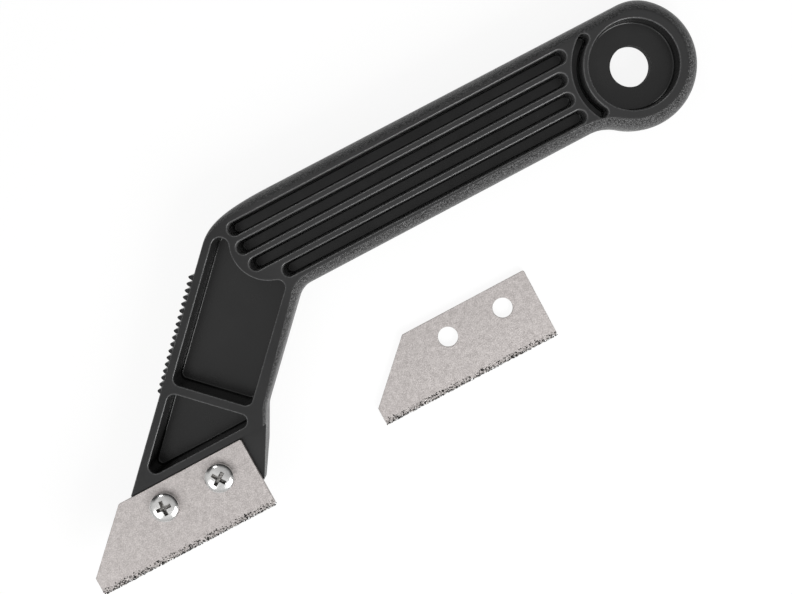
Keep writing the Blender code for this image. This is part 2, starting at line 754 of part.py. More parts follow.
def add_nut(name, centre, steel, parts, cutters):
    """A hexagon nut with chamfered corners, in its pocket in the nose's back."""
    corner = NUT_FLATS / math.sqrt(3)
    face_radius = NUT_FLATS / 2 * NUT_FACE_SHARE
    spread = (corner - face_radius) * NUT_SPREAD_SHARE
    heights = (-NUT_CHAMFER, NUT_CHAMFER, NUT_THICKNESS - NUT_CHAMFER, NUT_THICKNESS + NUT_CHAMFER)
    radii = (face_radius - spread, face_radius + spread, face_radius + spread, face_radius - spread)
    rings = [[(*point, z) for point in circle(np.zeros(2), r, FINE_SIDES)] for z, r in zip(heights, radii)]
    nut = add_part(name, prism(name, np.zeros(2), corner, 0.0, NUT_THICKNESS, 6), steel, parts)
    nut.location = (*centre, GAP)
    barrel = add_cutter(name + "_barrel", mesh_from_rings("barrel", rings), cutters)
    bore_radius = SCREW_RADIUS + GAP
    bore_data = prism("bore", np.zeros(2), bore_radius, -OVERRUN, NUT_THICKNESS + OVERRUN, THREAD_SIDES)
    bore = add_cutter(name + "_bore", bore_data, cutters)
    for cutter, operation in ((barrel, "INTERSECT"), (bore, "DIFFERENCE")):
        cutter.parent = nut
        combine(nut, cutter, operation)
    return nut


def build():
    for old in list(bpy.data.objects):
        bpy.data.objects.remove(old)
    parts = new_collection("grout_scraper")
    cutters = new_collection("cutters")
    add_handle(parts, cutters)

    blade_steel = material("blade_steel", (0.52, 0.49, 0.48), 0.45, 0.6)
    grit = material("carbide_grit", (0.25, 0.23, 0.22), 0.6, 0.5)
    screw_steel = material("plated_steel", (0.62, 0.62, 0.62), 0.25, 1.0)
    plate = plate_mesh()
    finishes = (blade_steel, grit)
    place = (*on_seat(0.0, 0.0), SEAT_Z + GAP)
    holder = add_blade("", place, SEAT_TURN, GRIT_SEEDS[0], plate, finishes, parts)
    spare_place = (SPARE_RIGHT, -SPARE_DROP, GRIT_STAND + GRIT_ROUGHNESS)
    add_blade("spare_", spare_place, SPARE_TURN, GRIT_SEEDS[1], plate, finishes, parts)

    names = ("rear", "front")
    turns = (REAR_SCREW_TURN, FRONT_SCREW_TURN)
    for name, hole, turn in zip(names, hole_centres(), turns):
        add_screw(name + "_screw", holder, hole, turn, screw_steel, parts, cutters)
        add_nut(name + "_nut", on_seat(*hole), screw_steel, parts, cutters)


build()
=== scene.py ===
"""The grout scraper dressed for its photograph: camera, light, floor, materials and finer pieces.

The handle, blades, screws and nuts are built again with finer curves, from the same sizes as
the solids that they stand for. Lengths are in metres, in the model's own frame.
"""

import math

import bmesh
import bpy
import numpy as np
from mathutils import Matrix, Vector


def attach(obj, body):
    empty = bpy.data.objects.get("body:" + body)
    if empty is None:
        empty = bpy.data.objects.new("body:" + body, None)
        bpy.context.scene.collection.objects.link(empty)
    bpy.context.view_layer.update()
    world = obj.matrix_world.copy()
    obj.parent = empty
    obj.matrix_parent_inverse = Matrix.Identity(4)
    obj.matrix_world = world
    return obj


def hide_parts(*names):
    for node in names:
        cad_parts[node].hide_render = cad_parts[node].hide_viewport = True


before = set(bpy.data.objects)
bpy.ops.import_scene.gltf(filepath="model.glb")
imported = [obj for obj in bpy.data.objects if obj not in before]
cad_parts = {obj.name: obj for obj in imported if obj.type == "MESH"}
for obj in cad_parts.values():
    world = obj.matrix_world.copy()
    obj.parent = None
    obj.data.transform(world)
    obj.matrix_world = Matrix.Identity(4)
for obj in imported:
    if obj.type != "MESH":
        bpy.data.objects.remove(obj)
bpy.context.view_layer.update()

# Handle body
THICKNESS = 0.015
GRIP_LENGTH = 0.1157           # from the outer corner of the elbow to the centre of the ring
GRIP_WIDTH_AT_ELBOW = 0.0276
GRIP_WIDTH_AT_RING = 0.02645
NECK_WIDTH = 0.0279
NECK_BEND = math.radians(45.85)
NECK_LENGTH = 0.0778           # from the outer corner of the elbow to the step of the blade seat
OUTER_ELBOW_REACH = 0.0179     # how far the outer elbow's curve runs along the grip
OUTER_ELBOW_DROP = 0.0072      # and how far it runs down the neck
OUTER_ELBOW_PULL_SHARE = 0.75
INNER_ELBOW_RADIUS = 0.0066

# Hanging ring
RING_RADIUS = 0.0170
RING_DROP = 0.0025             # how far the ring's centre lies below the grip's middle line
RING_TOP_BLEND = 0.012
RING_UNDER_BLEND = 0.012
RECESS_RADIUS = 0.0117
RECESS_DEPTH = 0.0076
BACK_RECESS_DEPTH = 0.002
HANG_HOLE_RADIUS = 0.0054
ARC_SLOT_RADIUS = 0.0146
ARC_SLOT_WIDTH = 0.0029
ARC_SLOT_START = math.radians(126.0)
ARC_SLOT_END = math.radians(209.5)

# Grip slots and neck pockets
BACK_SKIN = 0.003
SLOT_COUNT = 4
SLOT_WIDTH = 0.0037
SLOT_PITCH = 0.00538
SLOT_ELBOW_WALL = 0.0019
SLOT_RING_WALL = 0.0015
ELBOW_ARC_RADIUS = 0.0105
ELBOW_ARC_INSET = 0.0104       # the arc's centre, along the grip from the elbow's outer corner
ELBOW_ARC_DROP = 0.0127        # and below the grip's upper edge
OUTER_WALL = 0.0023
INNER_WALL = 0.0039
POCKET_REACH = 0.0454          # down the neck from the elbow's outer corner
POCKET_TIP_RADIUS = 0.00225
POCKET_CORNER_RADIUS = 0.0019
NECK_RIB = 0.0026
SEAT_WALL = 0.0021
WALL_DRAFT = 0.0002
FLOOR_FILLET = 0.0005
RIM_ROUND = 0.00035

# Rounding of the outer edges, each on the front and on the back
FRONT_RISE_SHARE = 1.8         # height of a front rounding, as a share of its width
GRIP_EDGE_FRONT = 0.0030
GRIP_EDGE_BACK = 0.0050
RING_EDGE_FRONT = 0.0034
RING_EDGE_BACK = 0.0042
NECK_INNER_EDGE_FRONT = 0.0021
NECK_OUTER_EDGE_FRONT = 0.0004
NECK_OUTER_EDGE_BACK = 0.0030
FIN_EDGE_FRONT = 0.0010
FIN_EDGE_BACK = 0.0055
NOSE_EDGE_BACK = 0.0012

# Nose and blade seat
SEAT_TURN = math.radians(0.75)  # the seat and its blade lean a little from the grip's line
SEAT_HEIGHT = 0.0133
SEAT_DEPTH = 0.0017
FIN_ANGLE = math.radians(60.2)
BLADE_SET_BACK = 0.0060        # from the neck's inner side, carried down to the step, to the blade
FIN_INSET = 0.0001             # how far the fin's tip lies under the blade
FIN_TIP_RADIUS = 0.0015
FIN_BEVEL_RISE = 0.0083        # the bevel on the fin's back: its height at the tip,
FIN_BEVEL_REACH = 0.0168       # how far it runs up the fin
FIN_BEVEL_RUN = 0.0070         # and along the nose's end
FIN_ROOT_RADIUS = 0.0085
NOSE_CORNER_RADIUS = 0.0020

# Finger ridges on the neck's outer side
RIDGE_COUNT = 18
RIDGE_PITCH = 0.00185
RIDGE_START = 0.0169           # down the neck from the elbow's outer corner
RIDGE_WIDTH = 0.0014           # at the root, inside the neck
RIDGE_HEIGHT = 0.0013
RIDGE_LAST_HEIGHT = 0.0009
RIDGE_FRONT_MARGIN = 0.0008
RIDGE_BACK_MARGIN = 0.0025
RIDGE_ROOT = 0.0005
RIDGE_SIDES = 12

# Blades
BLADE_LENGTH = 0.0526
BLADE_WIDTH = 0.02005
BLADE_THICKNESS = 0.0012
BLADE_FRONT_ANGLE = math.radians(44.0)
BLADE_TIP_HEIGHT = 0.00525
BLADE_CORNER_RADIUS = 0.0005
BLADE_HOLE_RADIUS = 0.00275
BLADE_HOLE_DROP = 0.00635
BLADE_HOLE_INSET = 0.00975
BLADE_HOLE_SPACING = 0.01675
GRIT_STAND = 0.00025           # how far the grit stands out past the plate's faces
GRIT_ROUGHNESS = 0.00018
GRIT_SEEDS = (11, 23)
SPARE_RIGHT = 0.0088           # rear end of the spare blade's cutting edge, from the origin
SPARE_DROP = 0.0578            # and how far below the grip's middle line that edge lies
SPARE_TURN = math.radians(0.65)

# Screws and nuts
SCREW_LENGTH = 0.014
SCREW_RADIUS = 0.0020
SCREW_THREAD_DEPTH = 0.0004
SCREW_THREAD_PITCH = 0.0007
SCREW_PLAIN_LENGTH = 0.004
HEAD_RADIUS = 0.0039
HEAD_HEIGHT = 0.0024
RECESS_CROSS_SPAN = 0.0044
RECESS_CROSS_WIDTH = 0.0011
RECESS_CROSS_DEPTH = 0.0016
RECESS_TAPER_SHARE = 0.35
FRONT_SCREW_TURN = math.radians(-3.0)
REAR_SCREW_TURN = math.radians(32.0)
NUT_FLATS = 0.0070
NUT_THICKNESS = 0.0032
NUT_CHAMFER = 0.0004
NUT_FACE_SHARE = 0.96
NUT_SPREAD_SHARE = 1.2

# Clearances and the fineness of curves
GAP = 0.0003
OVERRUN = 0.003
ARC_STEP = 0.0008
ARC_ANGLE_STEP = math.radians(7.5)
ROUND_STEPS = 8
RIM_STEPS = 4
FINE_SIDES = 96
THREAD_SIDES = 32
THREAD_STEPS_PER_TURN = 12
SMOOTH_ANGLE = math.radians(32.0)

# Values that follow from the sizes above
ELBOW_X = -GRIP_LENGTH / 2
RING_CENTRE = np.array([GRIP_LENGTH / 2, -RING_DROP])
ELBOW_CORNER = np.array([ELBOW_X, GRIP_WIDTH_AT_ELBOW / 2])
NECK_WAY = np.array([-math.cos(NECK_BEND), -math.sin(NECK_BEND)])
SEAT_WAY = np.array([math.cos(SEAT_TURN), math.sin(SEAT_TURN)])
SEAT_Z = THICKNESS - SEAT_DEPTH
GRIP_EDGE = (GRIP_EDGE_FRONT, GRIP_EDGE_BACK)
RING_EDGE = (RING_EDGE_FRONT, RING_EDGE_BACK)
NOSE_EDGE = (NECK_OUTER_EDGE_FRONT, NOSE_EDGE_BACK)
FIN_EDGE = (FIN_EDGE_FRONT, FIN_EDGE_BACK)

# Finer forms of the pieces
PLATE_BEVEL = 0.00008
HEAD_CROWN_REACH = 0.00275
HEAD_CROWN_TILT = math.radians(17.0)
HEAD_SHOULDER = 0.00285
HEAD_SIDE_TILT = math.radians(44.0)
CROSS_ROOT_SHARE = 0.42        # the recess's round middle, as a share of its span,
CROSS_ROOT_MOUTH_SHARE = 1.6   # and how wide it opens above the head
CROSS_ROOT_TIP_SHARE = 0.25    # and closes at its tip
CROSS_ROOT_DEPTH_SHARE = 1.1   # as a share of the cross's depth
SCREW_SMOOTH_ANGLE = math.radians(40.0)
GRAIN_RADIUS = 0.00024
GRAIN_SIZE_SHARES = (0.55, 1.15)
GRAIN_FLAT_SHARES = (0.6, 1.15)
GRAIN_SPREAD_SHARE = 0.35      # how far a grain's corners move in or out
GRAIN_PITCH = 0.00034
GRAIN_INSET = 0.00026
GRAIN_FACES_DEPTH = 0.0019     # how far up the blade's faces the grains reach
GRAIN_SOLID_SHARE = 0.7
GRAIN_FADE_SHARE = 0.25
GRAIN_SHIFT_SHARES = (1.3, 1.3, 0.3)
GRAIN_EDGE_GAP_SHARE = 0.35
GRAIN_PLATE_FOOT = 0.00055     # the plate's own edge, under the grains

# Surfaces: the spans of a noise that colours follow, and the colours' dark and pale ends
NOISE_RANGE = (0.3, 0.7)
CORE_RANGE = (0.35, 0.65)
WHITE = (1.0, 1.0, 1.0, 1.0)
FACE_TONES = ((0.006, 0.006, 0.0062), (0.009, 0.009, 0.0092))
# The grip's faces are painted paler than the rest of the front: painted light
GRIP_PAINTED_LIGHT = (0.0165, 0.0165, 0.0168)
GRIP_PAINTED_LIGHT_REACH = (-0.056, -0.046)   # along X, where the painted light on the grip's faces sets in
# The sides' dark tone, and the pale tone of the painted glints on the grain's tops
SIDE_AND_GLINT_TONES = ((0.009, 0.009, 0.0092), (0.105, 0.105, 0.1060))
BORE_TONES = ((0.010, 0.010, 0.0103), (0.018, 0.018, 0.0184))
DUST_TONE = (0.16, 0.16, 0.16)
DUST_SHARE = 0.6
# Painted highlight along the rounded rims of the pockets and slots
RIM_PAINTED_HIGHLIGHT = (0.085, 0.085, 0.086)
STEEL_TONES = ((0.385, 0.356, 0.346), (0.660, 0.622, 0.608))
STEEL_RANGE = (0.55, 1.05)
MOTTLE_SHARE = 0.5
STEEL_SPOT_TONE = (0.20, 0.175, 0.16)
STEEL_SPOT_SHARE = 0.5
ZINC_TONES = ((0.66, 0.655, 0.645), (0.80, 0.795, 0.785))
# Darker, clouded tones inside the screws' cross recesses
RECESS_TONES = ((0.10, 0.095, 0.09), (0.52, 0.51, 0.49))
PAPER_TONES = ((0.83, 0.83, 0.825), (0.86, 0.86, 0.855))
PAPER_GLOW = 1.03
PAPER_GLOW_SHARE = 0.86
GRAIN_TONES = (
    (0.0, (0.010, 0.009, 0.009)), (0.50, (0.040, 0.037, 0.035)),
    (0.60, (0.30, 0.28, 0.26)), (1.0, (0.92, 0.88, 0.85)),
)

# The moulding: how upright a normal is on its faces and walls, and the grain of its sides
FACE_FLATNESS = (0.995, 0.90)
WALL_FLATNESS = (0.95, 0.60)
SIDE_GRAINS = (0.00040, 0.00024)
SIDE_GRAIN_SHARE = 0.6
SIDE_GRAIN_DEPTH = 0.00042
SKIN_GRAIN = 0.00016
SKIN_GRAIN_SHARE = 0.08
FACE_GRAIN_SHARE = 0.04
PAINTED_GLINT_RANGE = (0.74, 0.96)      # the grain's tops, painted pale as glints,
PAINTED_GLINT_SIDES = (-0.006, 0.004, 1.0, 0.4)   # less so on the upper side, so the lower side takes a painted highlight: from Y, to Y, and shares there
SIDE_AND_FACE_ROUGHNESS = (0.34, 0.30)
CLOUD_ROUGHNESS = (-0.02, 0.03)

# Camera, from the photograph: the pixel under the camera, its focal length and its roll
FRAME_WIDTH, FRAME_HEIGHT = 792, 594
FOOT_PIXEL = (435.0, 170.0)
FOCAL_PIXELS = 1486.8
CAMERA_ROLL = math.radians(27.71)
CAMERA_PLACE = (-0.00014, -0.00276, 0.4030)
SENSOR_WIDTH = 36.0
CAMERA_CLIP = 0.01

# The light tent: its strength by the sine of the height angle and by the side faced, and a
# dark low band behind, which either a high direction or another side lifts to full strength
TENT_BY_HEIGHT = ((0.0, 0.40), (0.25, 0.50), (0.60, 0.60), (0.80, 0.70), (0.93, 0.78), (1.0, 0.80))
TENT_SIDE_WAY = (0.75, 0.65)
TENT_BY_SIDE = ((-1.0, 1.2), (-0.27, 1.05), (0.0, 0.93), (0.15, 0.78), (0.40, 0.65), (1.0, 0.60))
BAND_WAY = (0.1, 1.0)
BAND_BY_HEIGHT = ((0.0, 0.04), (0.56, 0.05), (0.76, 1.0), (1.0, 1.0))
BAND_BY_SIDE = ((-1.0, 1.0), (0.02, 1.0), (0.22, 0.04), (1.0, 0.04))

# Soft lamps, all at one height angle: name, kind, direction in the photograph, the point aimed at
# and how far it is, power and own settings. The spot leaves the blade's screws out.
LAMP_LIFT = math.radians(38.0)
LAMPS = (
    ("key", "AREA", (0.64, -0.77), (0.0, 0.0, 0.0), 0.6, 2.85, {"shape": "SQUARE", "size": 0.32}),
    ("left", "AREA", (-0.65, -0.75), (0.0, 0.0, 0.0), 0.6, 0.40, {"shape": "SQUARE", "size": 0.24}),
    ("grip", "SPOT", (-0.55, 0.84), (0.045, 0.01, 0.01), 0.7, 12.0,
     {"spot_size": math.radians(18.0), "spot_blend": 0.5, "shadow_soft_size": 0.2}),
)
FLOOR_HALF = 3.0
FLOOR_DROP = 0.0001


def way_of(angle):
    return np.array([math.cos(angle), math.sin(angle)])


def left_of(way):
    return np.array([-way[1], way[0]])


def cross(a, b):
    return a[0] * b[1] - a[1] * b[0]


class Line:
    """A straight stretch of an outline; start and end hold the front and back rounding there."""

    def __init__(self, point, way, start=(0.0, 0.0), end=None):
        self.point = np.array(point, float)
        self.way = np.array(way, float) / math.hypot(way[0], way[1])
        self.start = np.array(start)
        self.end = self.start if end is None else np.array(end)

    def shifted(self, distance):
        return Line(self.point + distance * left_of(self.way), self.way)

    def nearest(self, place):
        return self.point + self.way * np.dot(place - self.point, self.way)

    def way_at(self, place):
        return self.way

    def between(self, start, end):
        return [start, end]


class Round:
    """A round stretch of an outline, travelled anticlockwise for turn 1 and clockwise for turn -1."""

    def __init__(self, centre, radius, turn, edge=(0.0, 0.0)):
        self.centre = np.array(centre, float)
        self.radius = radius
        self.turn = turn
        self.start = self.end = np.array(edge)

    def shifted(self, distance):
        return Round(self.centre, self.radius - self.turn * distance, self.turn)

    def nearest(self, place):
        out = place - self.centre
        return self.centre + out * self.radius / math.hypot(out[0], out[1])

    def way_at(self, place):
        return self.turn * left_of(place - self.centre)

    def between(self, start, end):
        return arc_points(self.centre, start, end, self.turn)


def arc_points(centre, start, end, turn):
    """Points along an arc from start to end, both included."""
    first = start - centre
    last = end - centre
    radius = math.hypot(first[0], first[1])
    angle = math.atan2(first[1], first[0])
    sweep = (turn * (math.atan2(last[1], last[0]) - angle)) % (2 * math.pi)
    steps = max(1, math.ceil(sweep / ARC_ANGLE_STEP), math.ceil(sweep * radius / ARC_STEP))
    angles = angle + turn * sweep * np.arange(steps + 1) / steps
    return [centre + radius * way_of(a) for a in angles]


def crossings(a, b):
    """The places where two stretches cross; at least one of them is a line."""
    line, other = (a, b) if isinstance(a, Line) else (b, a)
    if isinstance(other, Line):
        along = cross(other.point - line.point, other.way) / cross(line.way, other.way)
        return [line.point + along * line.way]
    foot = line.nearest(other.centre)
    half = math.sqrt(other.radius ** 2 - np.sum((foot - other.centre) ** 2))
    return [foot - half * line.way, foot + half * line.way]


def corner_arc(a, b, radius):
    """The rounded corner from stretch a to b; a negative radius fills a hollow corner."""
    centres = crossings(a.shifted(radius), b.shifted(radius))
    turn = 1 if radius > 0 else -1
    centre = max(centres, key=lambda place: turn * cross(a.way_at(place), b.way_at(place)))
    return arc_points(centre, a.nearest(centre), b.nearest(centre), turn)


def corner_ease(a, b, reach_in, reach_out, pull_share):
    """A corner that bends slowly at first and then tightly, as one cubic curve."""
    corner = crossings(a, b)[0]
    start = corner - reach_in * a.way
    end = corner + reach_out * b.way
    near = start + (corner - start) * pull_share
    far = end + (corner - end) * pull_share
    steps = math.ceil((reach_in + reach_out) / ARC_STEP)
    shares = np.arange(steps + 1) / steps
    return [start * (1 - t) ** 3 + 3 * near * t * (1 - t) ** 2 + 3 * far * t ** 2 * (1 - t) + end * t ** 3
            for t in shares]


def closed_outline(stretches, corners):
    """Points of a closed outline and the edge rounding at each; corner i follows stretch i."""
    points = []
    edges = []
    for i, stretch in enumerate(stretches):
        corner = corners[i]
        following = stretches[(i + 1) % len(stretches)]
        run = stretch.between(corners[i - 1][-1], corner[0])[1:-1]
        points += run + corner
        edges += list(np.linspace(stretch.start, stretch.end, len(run) + 2)[1:-1])
        edges += list(np.linspace(stretch.end, following.start, len(corner)))
    return np.array(points), np.array(edges)


def rounded_outline(stretches, radii):
    """Points of a closed outline with one corner radius after each stretch."""
    following = stretches[1:] + stretches[:1]
    return closed_outline(stretches, [corner_arc(*pair) for pair in zip(stretches, following, radii)])[0]


def outward(points):
    """For each point of an anticlockwise outline, the step that moves both its sides out by one."""
    ways = np.roll(points, -1, axis=0) - points
    ways /= np.linalg.norm(ways, axis=1)[:, None]
    normals = np.column_stack([ways[:, 1], -ways[:, 0]])
    before = np.roll(normals, 1, axis=0)
    return (normals + before) / (1 + np.sum(normals * before, axis=1))[:, None]


def finished(mesh, name):
    data = bpy.data.meshes.new(name)
    mesh.to_mesh(data)
    mesh.free()
    return data


def loft(mesh, rings):
    """Adds a closed solid through rings of points, each anticlockwise seen from the last ring's side."""
    loops = [[mesh.verts.new(point) for point in ring] for ring in rings]
    count = len(loops[0])
    for low, high in zip(loops, loops[1:]):
        for i in range(count):
            j = (i + 1) % count
            mesh.faces.new((low[i], low[j], high[j], high[i]))
    mesh.faces.new(loops[0][::-1])
    mesh.faces.new(loops[-1])


def mesh_from_rings(name, rings):
    mesh = bmesh.new()
    loft(mesh, rings)
    return finished(mesh, name)


def slab_rings(points, sections):
    """Rings of an outline at each (height, outset) of sections; both may differ from point to point."""
    steps = outward(points)
    rings = []
    for height, outset in sections:
        flat = points + steps * np.broadcast_to(outset, len(points))[:, None]
        rings.append(np.column_stack([flat, np.broadcast_to(height, len(points))]))
    return rings


def rounding(radius, steps):
    """Insets and rises of a quarter round, from its upright end to its level end."""
    angles = [math.pi / 2 * k / steps for k in range(steps + 1)]
    return [(radius * (1 - math.cos(a)), radius * (1 - math.sin(a))) for a in angles]


def rounded_slab(name, points, edges, low, high):
    """A plate with front and back edges rounded by widths that change along the outline."""
    front, back = edges.T
    sections = [(low + rise, -inset) for inset, rise in reversed(rounding(back, ROUND_STEPS))]
    sections += [(high - FRONT_RISE_SHARE * rise, -inset) for inset, rise in rounding(front, ROUND_STEPS)]
    mesh = bmesh.new()
    loft(mesh, slab_rings(points, sections))
    # Where the radius changes the sides are twisted, and cuts need flat faces
    bmesh.ops.triangulate(mesh, faces=[face for face in mesh.faces if len(face.verts) == 4])
    return finished(mesh, name)


def pocket_cutter(name, points, floor, face):
    """A cutter for a moulded pocket: filleted floor, drafted wall and rounded rim."""
    sections = [(floor + rise, -inset - WALL_DRAFT)
                for inset, rise in reversed(rounding(FLOOR_FILLET, RIM_STEPS))]
    sections += [(face - rise, inset) for inset, rise in rounding(RIM_ROUND, RIM_STEPS)]
    sections += [(face + OVERRUN, RIM_ROUND)]
    return mesh_from_rings(name, slab_rings(points, sections))


def circle(centre, radius, sides):
    angles = [math.pi * (2 * k + 1) / sides for k in range(sides)]
    return np.array([centre + radius * way_of(a) for a in angles])


def raised(points, z):
    return [(*point, z) for point in points]


def stacked(centre, steps, sides):
    """Rings round an upright axis, one at each (height, radius) of steps."""
    return [raised(circle(centre, radius, sides), z) for z, radius in steps]


def prism(name, centre, radius, low, high, sides):
    """An upright cylinder, or a hexagon with six sides."""
    return mesh_from_rings(name, stacked(centre, ((low, radius), (high, radius)), sides))


# The long sides that the handle's outline and its pockets share


def grip_upper():
    ring_end = np.array([RING_CENTRE[0], GRIP_WIDTH_AT_RING / 2])
    return Line(ELBOW_CORNER, ELBOW_CORNER - ring_end, GRIP_EDGE)


def grip_lower():
    start = np.array([ELBOW_X, -GRIP_WIDTH_AT_ELBOW / 2])
    ring_end = np.array([RING_CENTRE[0], -GRIP_WIDTH_AT_RING / 2])
    return Line(start, ring_end - start, GRIP_EDGE)


def neck_outer():
    return Line(ELBOW_CORNER, NECK_WAY, (NECK_OUTER_EDGE_FRONT, NECK_OUTER_EDGE_BACK), NOSE_EDGE)


def neck_inner():
    start = ELBOW_CORNER + NECK_WIDTH * left_of(NECK_WAY)
    return Line(start, -NECK_WAY, FIN_EDGE, (NECK_INNER_EDGE_FRONT, FIN_EDGE_BACK))


def seat_step():
    """The step at the blade's top edge, which runs from the neck's outer side."""
    return Line(ELBOW_CORNER + NECK_LENGTH * NECK_WAY, SEAT_WAY)


def on_seat(along, up):
    """A place given from the rear end of the mounted blade's cutting edge."""
    rear = crossings(neck_inner(), seat_step())[0] - BLADE_SET_BACK * SEAT_WAY
    return rear + along * SEAT_WAY + (up - BLADE_WIDTH - GAP) * left_of(SEAT_WAY)


def fin_side():
    tip = on_seat(-FIN_INSET, BLADE_WIDTH + GAP - SEAT_HEIGHT)
    return Line(tip, way_of(FIN_ANGLE), NOSE_EDGE, FIN_EDGE)


def handle_outline():
    nose = Line(seat_step().shifted(-SEAT_HEIGHT).point, SEAT_WAY, NOSE_EDGE)
    ring = Round(RING_CENTRE, RING_RADIUS, 1, RING_EDGE)
    outer, upper = neck_outer(), grip_upper()
    stretches = [outer, nose, fin_side(), neck_inner(), grip_lower(), ring, upper]
    radii = (NOSE_CORNER_RADIUS, FIN_TIP_RADIUS, -FIN_ROOT_RADIUS,
             -INNER_ELBOW_RADIUS, -RING_UNDER_BLEND, RING_TOP_BLEND)
    corners = [corner_arc(*pair) for pair in zip(stretches, stretches[1:], radii)]
    corners.append(corner_ease(upper, outer, OUTER_ELBOW_REACH, OUTER_ELBOW_DROP, OUTER_ELBOW_PULL_SHARE))
    return closed_outline(stretches, corners)


def neck_pocket_outline():
    outer = neck_outer().shifted(OUTER_WALL)
    inner = neck_inner().shifted(INNER_WALL)
    end = Line(ELBOW_CORNER + POCKET_REACH * NECK_WAY, left_of(NECK_WAY))
    arc = Round(ELBOW_CORNER + np.array([ELBOW_ARC_INSET, -ELBOW_ARC_DROP]), ELBOW_ARC_RADIUS, -1)
    return rounded_outline([outer, end, inner, arc], [POCKET_CORNER_RADIUS] * 3 + [POCKET_TIP_RADIUS])


def corner_pocket_outline():
    outer = neck_outer().shifted(OUTER_WALL)
    bottom = seat_step().shifted(SEAT_WALL)
    top = Line(ELBOW_CORNER + (POCKET_REACH + NECK_RIB) * NECK_WAY, -left_of(NECK_WAY))
    return rounded_outline([outer, bottom, top], [POCKET_CORNER_RADIUS] * 3)


def arc_slot_outline():
    half = ARC_SLOT_WIDTH / 2
    ways = [way_of(ARC_SLOT_START), way_of(ARC_SLOT_END)]
    first, last = [RING_CENTRE + ARC_SLOT_RADIUS * way for way in ways]
    outer_first, inner_first = first + half * ways[0], first - half * ways[0]
    outer_last, inner_last = last + half * ways[1], last - half * ways[1]
    points = arc_points(RING_CENTRE, outer_first, outer_last, 1)
    points += arc_points(last, outer_last, inner_last, 1)[1:]
    points += arc_points(RING_CENTRE, inner_last, inner_first, -1)[1:]
    points += arc_points(first, inner_first, outer_first, 1)[1:-1]
    return np.array(points)


def slot_stop(obstacle, height, wall, side):
    """How far along X a slot's end centre goes, keeping a wall to another pocket's outline."""
    reach = SLOT_WIDTH / 2 + wall
    near = obstacle[np.abs(obstacle[:, 1] - height) < reach]
    stops = near[:, 0] + side * np.sqrt(reach ** 2 - (near[:, 1] - height) ** 2)
    return side * max(side * stops)


def slot_outline(start, end, height):
    down, up = np.array([0.0, -SLOT_WIDTH / 2]), np.array([0.0, SLOT_WIDTH / 2])
    left, right = np.array([start, height]), np.array([end, height])
    points = arc_points(right, right + down, right + up, 1)
    points += arc_points(left, left + up, left + down, 1)
    return np.array(points)


def slot_outlines():
    """The long slots along the grip, between the neck's pocket and the slot round the ring."""
    pocket, arc_slot = neck_pocket_outline(), arc_slot_outline()
    outlines = []
    for i in range(SLOT_COUNT):
        height = (i - (SLOT_COUNT - 1) / 2) * SLOT_PITCH
        start = slot_stop(pocket, height, SLOT_ELBOW_WALL, 1)
        end = slot_stop(arc_slot, height, SLOT_RING_WALL, -1)
        outlines.append(slot_outline(start, end, height))
    return outlines


def ridges_mesh():
    """Round-topped finger ridges down the neck's outer side, each lower than the last."""
    mesh = bmesh.new()
    out = -left_of(NECK_WAY)
    angles = np.linspace(math.pi, 0.0, RIDGE_SIDES + 1)
    for i in range(RIDGE_COUNT):
        share = i / (RIDGE_COUNT - 1)
        height = RIDGE_HEIGHT + (RIDGE_LAST_HEIGHT - RIDGE_HEIGHT) * share
        foot = ELBOW_CORNER + (RIDGE_START + i * RIDGE_PITCH) * NECK_WAY - RIDGE_ROOT * out
        side, rise = RIDGE_WIDTH / 2 * NECK_WAY, (height + RIDGE_ROOT) * out
        flat = [foot + side * math.cos(a) + rise * math.sin(a) for a in angles]
        loft(mesh, [raised(flat, z) for z in (RIDGE_BACK_MARGIN, THICKNESS - RIDGE_FRONT_MARGIN)])
    return finished(mesh, "ridges")


def hole_centres():
    """The blade's two holes, from the rear end of its cutting edge: the rear one first."""
    height = BLADE_WIDTH - BLADE_HOLE_DROP
    return [(-BLADE_HOLE_INSET, height), (-BLADE_HOLE_INSET - BLADE_HOLE_SPACING, height)]


def seat_cutter():
    """Everything in front of the seat's level, from the step to past the nose's end."""
    step = seat_step()
    far = SEAT_HEIGHT + OVERRUN
    ends = (-BLADE_LENGTH, NECK_WIDTH * 2)
    flat = [step.shifted(-far).point + along * SEAT_WAY for along in ends]
    flat += [step.point + along * SEAT_WAY for along in reversed(ends)]
    return mesh_from_rings("seat_cutter", [raised(flat, z) for z in (SEAT_Z, THICKNESS + OVERRUN)])


def fin_bevel_cutter():
    """A wedge behind the fin's tip; its slanting side leaves the back between the nose and the fin."""
    fin = fin_side()
    low, high = fin.point - FIN_BEVEL_RUN * SEAT_WAY, fin.point + FIN_BEVEL_REACH * fin.way
    trace = Line(low, high - low)
    out = -left_of(trace.way)
    slope = FIN_BEVEL_RISE / np.dot(fin.point - low, out)
    rises = (-OVERRUN, FIN_BEVEL_RISE + OVERRUN)
    section = [(rises[0] / slope, rises[0]), (rises[1] / slope, rises[1]), (rises[1] / slope, rises[0])]
    ends = (low - OVERRUN * trace.way, high + OVERRUN * trace.way)
    return mesh_from_rings("fin_bevel_cutter", [[(*(end + u * out), z) for u, z in section] for end in ends])


